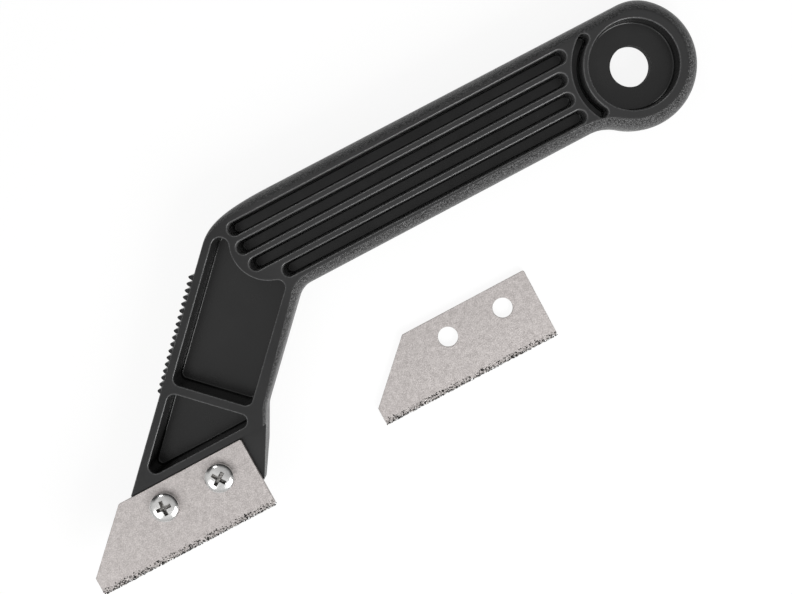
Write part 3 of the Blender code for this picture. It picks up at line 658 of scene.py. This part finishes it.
def pocket_cutters():
    """The same cutters as the solid handle's, in the order of its own cuts."""
    floor, face = BACK_SKIN, THICKNESS
    shapes = [seat_cutter(), fin_bevel_cutter()]
    shapes += [pocket_cutter("slot_cutter", points, floor, face) for points in slot_outlines()]
    shapes += [
        pocket_cutter("arc_slot_cutter", arc_slot_outline(), floor, face),
        pocket_cutter("neck_pocket_cutter", neck_pocket_outline(), floor, face),
        pocket_cutter("corner_pocket_cutter", corner_pocket_outline(), floor, face),
        pocket_cutter("recess_cutter", circle(RING_CENTRE, RECESS_RADIUS, FINE_SIDES),
                      face - RECESS_DEPTH, face),
        prism("hang_hole_cutter", RING_CENTRE, HANG_HOLE_RADIUS, -OVERRUN, face + OVERRUN, FINE_SIDES),
        prism("back_recess_cutter", RING_CENTRE, RECESS_RADIUS, -OVERRUN, BACK_RECESS_DEPTH, FINE_SIDES),
    ]
    nut_radius = NUT_FLATS / math.sqrt(3) + GAP
    for hole in hole_centres():
        centre = on_seat(*hole)
        shapes.append(prism("nut_pocket_cutter", centre, nut_radius, -OVERRUN, NUT_THICKNESS + 2 * GAP, 6))
        shapes.append(prism("screw_hole_cutter", centre, SCREW_RADIUS + GAP, 0.0, face + OVERRUN, FINE_SIDES))
    return shapes


# Putting pieces in the scene


def add_object(name, data, material=None):
    made = bpy.data.objects.new(name, data)
    bpy.context.scene.collection.objects.link(made)
    if material:
        data.materials.clear()
        data.materials.append(material)
    return made


def combined(name, data, cuts):
    """The mesh left after each (mesh, operation) of cuts; cut faces take the cutter's material."""
    holder = add_object(name + "_rough", data)
    helpers = [add_object(name + "_helper", other) for other, _ in cuts]
    for helper, (_, operation) in zip(helpers, cuts):
        boolean = holder.modifiers.new(helper.name, "BOOLEAN")
        boolean.operation = operation
        boolean.object = helper
        boolean.material_mode = "TRANSFER"
    graph = bpy.context.evaluated_depsgraph_get()
    result = bpy.data.meshes.new_from_object(holder.evaluated_get(graph))
    result.name = name
    for old in [holder, *helpers]:
        bpy.data.objects.remove(old)
    return result


def shade(data, angle=SMOOTH_ANGLE):
    data.shade_smooth()
    data.set_sharp_from_angle(angle=angle)


def weight_normals(part):
    """Flat faces keep their own normals and the roundings beside them take up the turn."""
    weighted = part.modifiers.new("weighted", "WEIGHTED_NORMAL")
    weighted.keep_sharp = True


def place_piece(part, body, slot, *nodes):
    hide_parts(*nodes)
    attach(part, body)


# Materials


class Graph:
    """A node tree, with short ways to add, feed and link its nodes."""

    def __init__(self, tree, coordinate):
        self.nodes = tree.nodes
        self.links = tree.links
        self.place = self.put("ShaderNodeTexCoord", {}, coordinate)

    def feed(self, socket, value):
        if isinstance(value, bpy.types.NodeSocket):
            self.links.new(value, socket)
        else:
            socket.default_value = value

    def put(self, kind, inputs, output, **settings):
        """Adds a node, feeds its inputs by name or number, and gives one of its outputs."""
        node = self.nodes.new(kind)
        for name, value in settings.items():
            setattr(node, name, value)
        for key, value in inputs.items():
            self.feed(node.inputs[key], value)
        return node.outputs[output]

    def math(self, operation, a, b=0.0):
        return self.put("ShaderNodeMath", {0: a, 1: b}, "Value", operation=operation)

    def times(self, a, b):
        return self.math("MULTIPLY", a, b)

    def plus(self, a, b):
        return self.math("ADD", a, b)

    def spread(self, value, low, high, to_low=0.0, to_high=1.0):
        """The value carried from one range to another, and held at its ends."""
        return self.put("ShaderNodeMapRange", dict(enumerate((value, low, high, to_low, to_high))), "Result")

    def ramp(self, value, steps):
        """A colour that follows a value through (position, colour) steps."""
        colour = self.put("ShaderNodeValToRGB", {"Fac": value}, "Color")
        elements = colour.node.color_ramp.elements
        while len(elements) < len(steps):
            elements.new(0.5)
        for element, (position, tone) in zip(elements, steps):
            element.position = position
            element.color = (*tone, 1.0)
        return colour

    def mixed(self, share, a, b):
        """Shader a where share is 0 and b where it is 1."""
        return self.put("ShaderNodeMixShader", {0: share, 1: a, 2: b}, "Shader")


class Material(Graph):
    """A material's node tree, round its Principled BSDF."""

    def __init__(self, name):
        self.material = bpy.data.materials.new(name)
        self.material.use_nodes = True
        super().__init__(self.material.node_tree, "Object")
        self.surface = self.nodes["Principled BSDF"]

    def noise(self, size, detail=2.0, roughness=0.5):
        """Noise whose blots are about size metres across."""
        inputs = {"Vector": self.place, "Scale": 1.0 / size, "Detail": detail, "Roughness": roughness}
        return self.put("ShaderNodeTexNoise", inputs, "Fac")

    def specks(self, size, core, edge):
        """1 in round specks about size metres apart, fading from their core to their edge."""
        cells = self.put("ShaderNodeTexVoronoi", {"Vector": self.place, "Scale": 1.0 / size}, "Distance")
        return self.spread(cells, core, edge, 1.0, 0.0)

    def blend(self, share, a, b, mode="MIX"):
        """Colour a where share is 0 and b where it is 1, in the way that mode names."""
        a, b = [c if isinstance(c, bpy.types.NodeSocket) else (*c, 1.0) for c in (a, b)]
        return self.put("ShaderNodeMix", {0: share, 6: a, 7: b}, 2, data_type="RGBA", blend_type=mode)

    def axis(self, name, vector=None):
        """One coordinate of the place on the piece, or of another vector."""
        return self.put("ShaderNodeSeparateXYZ", {0: self.place if vector is None else vector}, name)

    def flatness(self, full, none):
        """1 where the surface faces up or down, 0 where it stands upright."""
        normal = self.put("ShaderNodeNewGeometry", {}, "Normal")
        return self.spread(self.math("ABSOLUTE", self.axis("Z", normal)), none, full)

    def finish(self, colour, rough, height=None, depth=0.0, metallic=0.0, gloss=0.5):
        """The material, with its colour, roughness and specular level, and a relief of some depth."""
        values = {"Base Color": colour, "Roughness": rough, "Metallic": metallic, "Specular IOR Level": gloss}
        if height is not None:
            relief = {"Height": height, "Distance": depth, "Strength": 1.0}
            values["Normal"] = self.put("ShaderNodeBump", relief, "Normal")
        for name, value in values.items():
            self.feed(self.surface.inputs[name], value)
        return self.material


def moulded_plastic():
    """Satin black, a little paler along the grip as painted light, with a coarse grain on the rounded outer
    sides whose tops carry painted glints.
    """
    shader = Material("moulded_plastic")
    flat = shader.flatness(*FACE_FLATNESS)
    coarse, medium = [shader.noise(size, detail=1.0) for size in SIDE_GRAINS]
    grain = shader.plus(coarse, shader.times(medium, SIDE_GRAIN_SHARE))
    fine = shader.times(shader.noise(SKIN_GRAIN), SKIN_GRAIN_SHARE)
    height = shader.plus(shader.times(grain, shader.spread(flat, 0.0, 1.0, 1.0, FACE_GRAIN_SHARE)), fine)
    cloud = shader.spread(shader.noise(0.009, detail=3.0), *NOISE_RANGE)
    face = shader.blend(cloud, *FACE_TONES)
    # Painted light: the grip's faces take a paler tone than the rest of the front
    face = shader.blend(shader.spread(shader.axis("X"), *GRIP_PAINTED_LIGHT_REACH), face, GRIP_PAINTED_LIGHT)
    # Painted glints: the grain's tops are painted pale, most on the lower side as a painted highlight
    painted_highlight = shader.times(shader.spread(grain, *PAINTED_GLINT_RANGE), shader.spread(shader.axis("Y"), *PAINTED_GLINT_SIDES))
    side = shader.blend(painted_highlight, *SIDE_AND_GLINT_TONES)
    rough = shader.plus(shader.spread(flat, 0.0, 1.0, *SIDE_AND_FACE_ROUGHNESS),
                        shader.spread(cloud, 0.0, 1.0, *CLOUD_ROUGHNESS))
    return shader.finish(shader.blend(flat, side, face), rough, height, SIDE_GRAIN_DEPTH, gloss=0.46)


def pocket_plastic(name, dark, light, wall, gloss):
    """The smoother walls and floors of the pockets, with painted highlights on their rims, walls in their own
    tone, and stray dust.
    """
    shader = Material(name)
    fine = shader.noise(0.00028)
    flow = shader.noise(0.006, detail=3.0, roughness=0.6)
    dust = shader.specks(0.0055, core=0.018, edge=0.028)
    colour = shader.blend(shader.spread(flow, *CORE_RANGE), (dark,) * 3, (light,) * 3)
    # The walls take their own tone; in the slots it is far paler than the floors, a painted light that lifts
    # their shade
    colour = shader.blend(shader.flatness(*WALL_FLATNESS), (wall,) * 3, colour)
    colour = shader.blend(shader.times(dust, DUST_SHARE), colour, DUST_TONE)
    # Painted highlight: the rims' rounding is painted pale, broken up by a fine noise
    highlight_rim = shader.spread(shader.axis("Z"), THICKNESS - RIM_ROUND, THICKNESS - RIM_ROUND / 2)
    painted_highlight = shader.times(highlight_rim, shader.spread(fine, *CORE_RANGE, 0.35, 1.0))
    colour = shader.blend(painted_highlight, colour, RIM_PAINTED_HIGHLIGHT)
    rough = shader.spread(flow, *NOISE_RANGE, 0.20, 0.28)
    return shader.finish(colour, rough, fine, depth=0.00001, gloss=gloss)


def bore_plastic():
    """The dull wall of the hanging hole, scuffed by its hook."""
    shader = Material("bore_plastic")
    scuff = shader.noise(0.0006, detail=3.0)
    colour = shader.blend(shader.spread(scuff, *NOISE_RANGE), *BORE_TONES)
    rough = shader.spread(scuff, *NOISE_RANGE, 0.7, 0.85)
    return shader.finish(colour, rough, scuff, depth=0.00008, gloss=0.15)


def sheet_steel():
    """Satin blade steel with a fine pale fleck, and a few small dark spots."""
    shader = Material("sheet_steel")
    mottle = shader.noise(0.0016, detail=4.0, roughness=0.65)
    fleck = shader.noise(0.00031, roughness=0.6)
    spots = shader.specks(0.0085, core=0.018, edge=0.045)
    tone = shader.spread(shader.plus(shader.times(mottle, MOTTLE_SHARE), fleck), *STEEL_RANGE)
    colour = shader.blend(tone, *STEEL_TONES)
    colour = shader.blend(shader.times(spots, STEEL_SPOT_SHARE), colour, STEEL_SPOT_TONE)
    rough = shader.spread(mottle, *NOISE_RANGE, 0.44, 0.54)
    return shader.finish(colour, rough, fleck, depth=0.00003, metallic=1.0)


def carbide_grains():
    """Brazed grains, each with its own tone from dark carbide to bright solder."""
    shader = Material("carbide_grains")
    own = shader.ramp(shader.put("ShaderNodeNewGeometry", {}, "Random Per Island"), GRAIN_TONES)
    fine = shader.noise(0.00012)
    shadow = shader.blend(shader.spread(fine, *CORE_RANGE), (0.5,) * 3, (1.0,) * 3)
    colour = shader.blend(1.0, own, shadow, "MULTIPLY")
    return shader.finish(colour, 0.42, fine, depth=0.00003, metallic=0.6)


def plated_steel():
    """Bright zinc plate with soft cloudy variation and fine turning marks."""
    shader = Material("plated_steel")
    cloud = shader.noise(0.0012, detail=3.0, roughness=0.6)
    colour = shader.blend(shader.spread(cloud, *NOISE_RANGE), *ZINC_TONES)
    rough = shader.spread(cloud, *NOISE_RANGE, 0.15, 0.21)
    return shader.finish(colour, rough, shader.noise(0.0003), depth=0.000012, metallic=0.95)


def recess_steel():
    """The dull inside of a screw's cross recess, darker than the head and clouded."""
    shader = Material("recess_steel")
    recess_cloud = shader.noise(0.00045, detail=3.0, roughness=0.6)
    colour = shader.blend(shader.spread(recess_cloud, *CORE_RANGE), *RECESS_TONES)
    return shader.finish(colour, 0.38, recess_cloud, depth=0.00005, metallic=0.9)


def floor_paper():
    """White paper: it takes the soft shadows, and the camera sees it nearly white."""
    shader = Material("floor_paper")
    fibre = shader.noise(0.0008, detail=3.0)
    shader.finish(shader.blend(shader.spread(fibre, *NOISE_RANGE), *PAPER_TONES), 0.9, gloss=0.0)
    glow = shader.put("ShaderNodeEmission", {"Color": WHITE, "Strength": PAPER_GLOW}, "Emission")
    rays = [shader.put("ShaderNodeLightPath", {}, kind) for kind in ("Is Camera Ray", "Is Glossy Ray")]
    share = shader.times(shader.math("MAXIMUM", *rays), PAPER_GLOW_SHARE)
    seen = shader.mixed(share, shader.surface.outputs["BSDF"], glow)
    shader.feed(shader.nodes["Material Output"].inputs["Surface"], seen)
    return shader.material


# The handle


def add_handle():
    outer, bore = moulded_plastic(), bore_plastic()
    inner = pocket_plastic("pocket_plastic", dark=0.007, light=0.010, wall=0.012, gloss=0.46)
    # The slots' walls are painted about ten times paler than their floors: painted light over their shade
    narrow = pocket_plastic("slot_plastic", dark=0.0085, light=0.0110, wall=0.120, gloss=0.42)
    finishes = {
        "ridges": outer, "seat_cutter": outer, "fin_bevel_cutter": outer,
        "hang_hole_cutter": bore, "slot_cutter": narrow, "arc_slot_cutter": narrow,
    }
    body = rounded_slab("handle_body", *handle_outline(), 0.0, THICKNESS)
    body.materials.append(outer)
    cuts = [(ridges_mesh(), "UNION")] + [(cutter, "DIFFERENCE") for cutter in pocket_cutters()]
    for other, _ in cuts:
        other.materials.append(finishes.get(other.name.split(".")[0], inner))
    data = combined("handle_body", body, cuts)
    shade(data)
    handle = add_object("moulded_handle", data)
    weight_normals(handle)
    place_piece(handle, "tool", "black_plastic", "handle")


# The blades


def plate_outline():
    """The blade plate's edge from the rear end of the cutting edge; it runs on under the grains."""
    stretches = [
        Line((0.0, GRAIN_PLATE_FOOT), (1.0, 0.0)),
        Line((0.0, 0.0), (0.0, 1.0)),
        Line((0.0, BLADE_WIDTH), (-1.0, 0.0)),
        Line((-BLADE_LENGTH, BLADE_TIP_HEIGHT), -way_of(BLADE_FRONT_ANGLE)),
        Line((-BLADE_LENGTH, 0.0), (0.0, -1.0)),
    ]
    return rounded_outline(stretches, [BLADE_CORNER_RADIUS] * len(stretches))


def plate_mesh():
    """The blade's flat plate with two holes, all its edges a little broken, standing on z = 0."""
    outline = plate_outline()
    inside = outline - outward(outline) * PLATE_BEVEL
    low, high = PLATE_BEVEL, BLADE_THICKNESS - PLATE_BEVEL
    levels = ((inside, 0.0), (outline, low), (outline, high), (inside, BLADE_THICKNESS))
    body = mesh_from_rings("plate", [raised(ring, z) for ring, z in levels])
    radius, wide = BLADE_HOLE_RADIUS, BLADE_HOLE_RADIUS + 2 * PLATE_BEVEL
    steps = ((-PLATE_BEVEL, wide), (low, radius), (high, radius), (BLADE_THICKNESS + PLATE_BEVEL, wide))
    holes = [mesh_from_rings("hole", stacked(centre, steps, FINE_SIDES)) for centre in hole_centres()]
    return combined("plate", body, [(hole, "DIFFERENCE") for hole in holes])


def grain_places(random):
    """Centres of the grains: over both faces beside the cutting edge, and along the edge itself."""
    columns = np.arange(GRAIN_INSET - BLADE_LENGTH, -GRAIN_INSET, GRAIN_PITCH)
    depths = np.arange(GRAIN_INSET, GRAIN_FACES_DEPTH, GRAIN_PITCH)
    rows = [(y, z) for y in depths for z in (0.0, BLADE_THICKNESS)]
    rows += [(GRAIN_INSET, z) for z in np.arange(0.0, BLADE_THICKNESS, GRAIN_PITCH)[1:]]
    places = []
    for y, z in rows:
        fading = max(0.0, y / GRAIN_FACES_DEPTH - GRAIN_SOLID_SHARE) / (1 - GRAIN_SOLID_SHARE)
        gaps = GRAIN_FADE_SHARE if y > GRAIN_PITCH else GRAIN_EDGE_GAP_SHARE
        for x in columns:
            if random.random() > fading * (1 - gaps) + gaps:
                shift = random.uniform(-0.5, 0.5, 3) * GRAIN_PITCH * GRAIN_SHIFT_SHARES
                places.append(np.array([x, y, z]) + shift)
    return places


def grain_form(random):
    """One angular grain: an icosahedron with its corners pushed about."""
    golden = (1 + math.sqrt(5)) / 2
    corners = [(s * 1.0, t * golden, 0.0) for s in (-1, 1) for t in (-1, 1)]
    points = np.array([c[i:] + c[:i] for c in corners for i in range(3)]) / math.hypot(1.0, golden)
    stretch = random.uniform(1 - GRAIN_SPREAD_SHARE, 1 + GRAIN_SPREAD_SHARE, (len(points), 1))
    return points * (stretch * random.uniform(*GRAIN_FLAT_SHARES, 3))


def grit_mesh(seed):
    """Separate angular grains bedded along the cutting edge."""
    random = np.random.default_rng(seed)
    mesh = bmesh.new()
    for place in grain_places(random):
        form = grain_form(random) * GRAIN_RADIUS * random.uniform(*GRAIN_SIZE_SHARES)
        hull = [mesh.verts.new(place + point) for point in form]
        bmesh.ops.convex_hull(mesh, input=hull)
    return finished(mesh, "grit")


def keep_within(data, low, high):
    """Moves any corner of the grains that stands outside the solid's box back onto it."""
    places = np.empty(len(data.vertices) * 3, np.float32)
    data.vertices.foreach_get("co", places)
    places = np.clip(places.reshape(-1, 3), low, high)
    data.vertices.foreach_set("co", places.ravel())
    data.update()


def stand_at(place, turn):
    return Matrix.Translation(Vector(place)) @ Matrix.Rotation(turn, 4, "Z")


def settle(part, stand):
    """Puts a piece in its place through its mesh, so that its box follows its true outline."""
    part.data.transform(stand)
    part.data.update()


def add_blade(prefix, place, turn, seed, plate, steel, grains, body):
    stand = stand_at(place, turn)
    sheet = add_object(prefix + "sheet", plate.copy(), steel)
    settle(sheet, stand)
    sheet.data.set_sharp_from_angle(angle=SMOOTH_ANGLE)
    place_piece(sheet, body, "blade_steel", prefix + "blade_plate")
    data = grit_mesh(seed)
    limit = GRIT_STAND + GRIT_ROUGHNESS
    keep_within(data, (-BLADE_LENGTH, PLATE_BEVEL, -limit), (0.0, BLADE_WIDTH, BLADE_THICKNESS + limit))
    grit = add_object(prefix + "grains", data, grains)
    settle(grit, stand)
    place_piece(grit, body, "carbide_grit", prefix + "blade_grit")


# Screws and nuts


def head_profile():
    """The screw's head and plain shank, from the axis on top down the outside to the axis below."""
    crown_radius = HEAD_CROWN_REACH / math.sin(HEAD_CROWN_TILT)
    crown = [HEAD_CROWN_TILT * k / ROUND_STEPS for k in range(ROUND_STEPS)]
    profile = [(crown_radius * math.sin(a), HEAD_HEIGHT - crown_radius * (1 - math.cos(a))) for a in crown]
    fall = crown_radius * (1 - math.cos(HEAD_CROWN_TILT))
    low = HEAD_HEIGHT - fall - HEAD_SHOULDER * math.cos(HEAD_CROWN_TILT)
    mid = HEAD_CROWN_REACH - HEAD_SHOULDER * math.sin(HEAD_CROWN_TILT)
    turns = np.linspace(HEAD_CROWN_TILT, HEAD_SIDE_TILT, ROUND_STEPS)
    profile += [(mid + HEAD_SHOULDER * math.sin(a), low + HEAD_SHOULDER * math.cos(a)) for a in turns]
    return profile + [
        (HEAD_RADIUS, 0.0), (SCREW_RADIUS, 0.0),
        (SCREW_RADIUS, -SCREW_PLAIN_LENGTH), (0.0, -SCREW_PLAIN_LENGTH),
    ]


def turned_mesh(name, profile):
    """A closed solid turned about Z from a profile that starts and ends on the axis."""
    mesh = bmesh.new()
    top = mesh.verts.new((0.0, 0.0, profile[0][1]))
    bottom = mesh.verts.new((0.0, 0.0, profile[-1][1]))
    angles = [2 * math.pi * k / FINE_SIDES for k in range(FINE_SIDES)]
    rings = [[mesh.verts.new((x * math.cos(a), x * math.sin(a), z)) for a in angles]
             for x, z in profile[1:-1]]
    for i in range(FINE_SIDES):
        j = (i + 1) % FINE_SIDES
        mesh.faces.new((top, rings[0][i], rings[0][j]))
        for high, low in zip(rings, rings[1:]):
            mesh.faces.new((high[i], low[i], low[j], high[j]))
        mesh.faces.new((bottom, rings[-1][j], rings[-1][i]))
    return finished(mesh, name)


def thread_mesh():
    """The threaded end: a helical ridge that runs out under the plain shank and at the tip."""
    top = SCREW_THREAD_PITCH - SCREW_PLAIN_LENGTH
    step = SCREW_THREAD_PITCH / THREAD_STEPS_PER_TURN
    count = round((top + SCREW_LENGTH) / step)
    root = SCREW_RADIUS - SCREW_THREAD_DEPTH
    rings = []
    for z in np.linspace(-SCREW_LENGTH, top, count + 1):
        run_out = min(1.0, (top - z) / SCREW_THREAD_PITCH / 2, (z + SCREW_LENGTH) / SCREW_THREAD_PITCH)
        ring = []
        for k in range(THREAD_SIDES):
            turn = (z / SCREW_THREAD_PITCH - k / THREAD_SIDES) % 1.0
            radius = root + SCREW_THREAD_DEPTH * run_out * (1 - abs(2 * turn - 1))
            angle = 2 * math.pi * k / THREAD_SIDES
            ring.append((radius * math.cos(angle), radius * math.sin(angle), z))
        rings.append(ring)
    return mesh_from_rings("thread", rings)


def cross_mesh():
    """A tapered cross-shaped cutter for the driver's recess."""
    wide, long = RECESS_CROSS_WIDTH / 2, RECESS_CROSS_SPAN / 2
    arm = [(long, -wide), (long, wide), (wide, wide)]
    flat = []
    for quarter in range(4):
        turn = Matrix.Rotation(quarter * math.pi / 2, 2)
        flat += [np.array(turn @ Vector(point)) for point in arm]
    rings = []
    for depth in (RECESS_CROSS_DEPTH, -RECESS_CROSS_DEPTH):
        size = 1 - RECESS_TAPER_SHARE * depth / RECESS_CROSS_DEPTH
        rings.append([(*(size * point), HEAD_HEIGHT - depth) for point in flat])
    return mesh_from_rings("cross", rings)


def recess_middle():
    """The recess's round middle, a pointed cone."""
    root = RECESS_CROSS_SPAN * CROSS_ROOT_SHARE / 2
    steps = (
        (HEAD_HEIGHT - RECESS_CROSS_DEPTH * CROSS_ROOT_DEPTH_SHARE, root * CROSS_ROOT_TIP_SHARE),
        (HEAD_HEIGHT + RECESS_CROSS_DEPTH, root * CROSS_ROOT_MOUTH_SHARE),
    )
    return mesh_from_rings("recess_middle", stacked(np.zeros(2), steps, FINE_SIDES // 4))


def add_screw(name, stand, hole, turn, steel, recess):
    body, thread = turned_mesh(name, head_profile()), thread_mesh()
    arms, middle = cross_mesh(), recess_middle()
    for data, finish in ((body, steel), (thread, steel), (arms, recess), (middle, recess)):
        data.materials.append(finish)
    data = combined(name, body, [(thread, "UNION"), (arms, "DIFFERENCE"), (middle, "DIFFERENCE")])
    shade(data, SCREW_SMOOTH_ANGLE)
    screw = add_object(name + "_bright", data)
    settle(screw, stand @ stand_at((*hole, BLADE_THICKNESS + GAP), turn))
    weight_normals(screw)
    place_piece(screw, name + "_body", "plated_steel", name)


def add_nut(name, centre, steel):
    """A hexagon nut with chamfered corners, in its pocket in the nose's back."""
    corner = NUT_FLATS / math.sqrt(3)
    face_radius = NUT_FLATS / 2 * NUT_FACE_SHARE
    spread = (corner - face_radius) * NUT_SPREAD_SHARE
    heights = (-NUT_CHAMFER, NUT_CHAMFER, NUT_THICKNESS - NUT_CHAMFER, NUT_THICKNESS + NUT_CHAMFER)
    radii = (face_radius - spread, face_radius + spread, face_radius + spread, face_radius - spread)
    middle = np.zeros(2)
    barrel = mesh_from_rings("barrel", stacked(middle, zip(heights, radii), FINE_SIDES))
    bore = prism("bore", middle, SCREW_RADIUS + GAP, -OVERRUN, NUT_THICKNESS + OVERRUN, THREAD_SIDES)
    hexagon = prism(name, middle, corner, 0.0, NUT_THICKNESS, 6)
    data = combined(name, hexagon, [(barrel, "INTERSECT"), (bore, "DIFFERENCE")])
    shade(data)
    nut = add_object(name + "_bright", data, steel)
    settle(nut, stand_at((*centre, GAP), 0.0))
    weight_normals(nut)
    place_piece(nut, "tool", "plated_steel", name)


# Floor, light and camera


def add_floor():
    mesh = bmesh.new()
    bmesh.ops.create_grid(mesh, x_segments=1, y_segments=1, size=FLOOR_HALF)
    floor = add_object("floor", finished(mesh, "floor"), floor_paper())
    floor.location = (0.0, 0.0, -FLOOR_DROP)


def photo_way(right, up):
    """A level direction given as it points in the photograph, in the model's frame."""
    cosine, sine = math.cos(CAMERA_ROLL), math.sin(CAMERA_ROLL)
    return Vector((right * cosine + up * sine, -right * sine + up * cosine, 0.0)).normalized()


def add_world():
    """A light tent, brighter overhead and dimmer on one side, with a dark low band behind."""
    world = bpy.data.worlds.new("studio")
    bpy.context.scene.world = world
    world.use_nodes = True
    graph = Graph(world.node_tree, "Generated")

    def amount(way, steps):
        """A grey that follows how far a direction points along a way, through (share, grey) steps."""
        inputs = {0: graph.place, 1: way}
        toward = graph.put("ShaderNodeVectorMath", inputs, "Value", operation="DOT_PRODUCT")
        tones = [((share + 1) / 2, (grey,) * 3) for share, grey in steps]
        return graph.ramp(graph.spread(toward, -1.0, 1.0), tones)

    up, side, behind = (0.0, 0.0, 1.0), photo_way(*TENT_SIDE_WAY), photo_way(*BAND_WAY)
    tent = graph.times(amount(up, TENT_BY_HEIGHT), amount(side, TENT_BY_SIDE))
    band = graph.math("MAXIMUM", amount(up, BAND_BY_HEIGHT), amount(behind, BAND_BY_SIDE))
    lit = graph.nodes["Background"]
    graph.feed(lit.inputs["Color"], WHITE)
    graph.feed(lit.inputs["Strength"], graph.times(tent, band))
    plain = graph.put("ShaderNodeBackground", {"Color": WHITE}, "Background")
    seen = graph.put("ShaderNodeLightPath", {}, "Is Camera Ray")
    both = graph.mixed(seen, lit.outputs["Background"], plain)
    graph.feed(graph.nodes["World Output"].inputs["Surface"], both)


def add_lamp(name, kind, way, aim, distance, power, settings):
    """A soft lamp that shines on its aim from a direction in the photograph."""
    lamp = bpy.data.lights.new(name, kind)
    lamp.energy = power
    for setting, value in settings.items():
        setattr(lamp, setting, value)
    made = add_object(name, lamp)
    out = photo_way(*way) * math.cos(LAMP_LIFT) + Vector((0.0, 0.0, math.sin(LAMP_LIFT)))
    made.location = Vector(aim) + out * distance
    made.rotation_mode = "QUATERNION"
    made.rotation_quaternion = (-out).to_track_quat("-Z", "Y")


def add_camera():
    """The photograph's own camera: above the grip, turned to its slanted frame and tilted a little."""
    foot = (FOOT_PIXEL[0] - FRAME_WIDTH / 2, FRAME_HEIGHT / 2 - FOOT_PIXEL[1])
    up = -Vector((*foot, -FOCAL_PIXELS)).normalized()
    along = Vector((math.cos(CAMERA_ROLL), math.sin(CAMERA_ROLL), 0.0))
    along = (along - up * along.dot(up)).normalized()
    across = up.cross(along)
    turn = Matrix((along, across, up))
    camera = bpy.data.cameras.new("camera")
    camera.sensor_width = SENSOR_WIDTH
    camera.lens = FOCAL_PIXELS * SENSOR_WIDTH / FRAME_WIDTH
    camera.clip_start = CAMERA_CLIP
    made = add_object("camera", camera)
    made.matrix_world = Matrix.Translation(Vector(CAMERA_PLACE)) @ turn.to_4x4()
    bpy.context.scene.camera = made


def build():
    add_handle()
    steel, grains, bright, recess = sheet_steel(), carbide_grains(), plated_steel(), recess_steel()
    plate = plate_mesh()
    seat_place = (*on_seat(0.0, 0.0), SEAT_Z + GAP)
    spare_place = (SPARE_RIGHT, -SPARE_DROP, GRIT_STAND + GRIT_ROUGHNESS)
    add_blade("", seat_place, SEAT_TURN, GRIT_SEEDS[0], plate, steel, grains, "blade")
    add_blade("spare_", spare_place, SPARE_TURN, GRIT_SEEDS[1], plate, steel, grains, "spare_blade")
    turns = (REAR_SCREW_TURN, FRONT_SCREW_TURN)
    for name, hole, turn in zip(("rear", "front"), hole_centres(), turns):
        add_screw(name + "_screw", stand_at(seat_place, SEAT_TURN), hole, turn, bright, recess)
        add_nut(name + "_nut", on_seat(*hole), bright)
    add_floor()
    add_world()
    for lamp in LAMPS:
        add_lamp(*lamp)
    add_camera()
    bpy.context.scene.view_settings.view_transform = "Standard"


build()
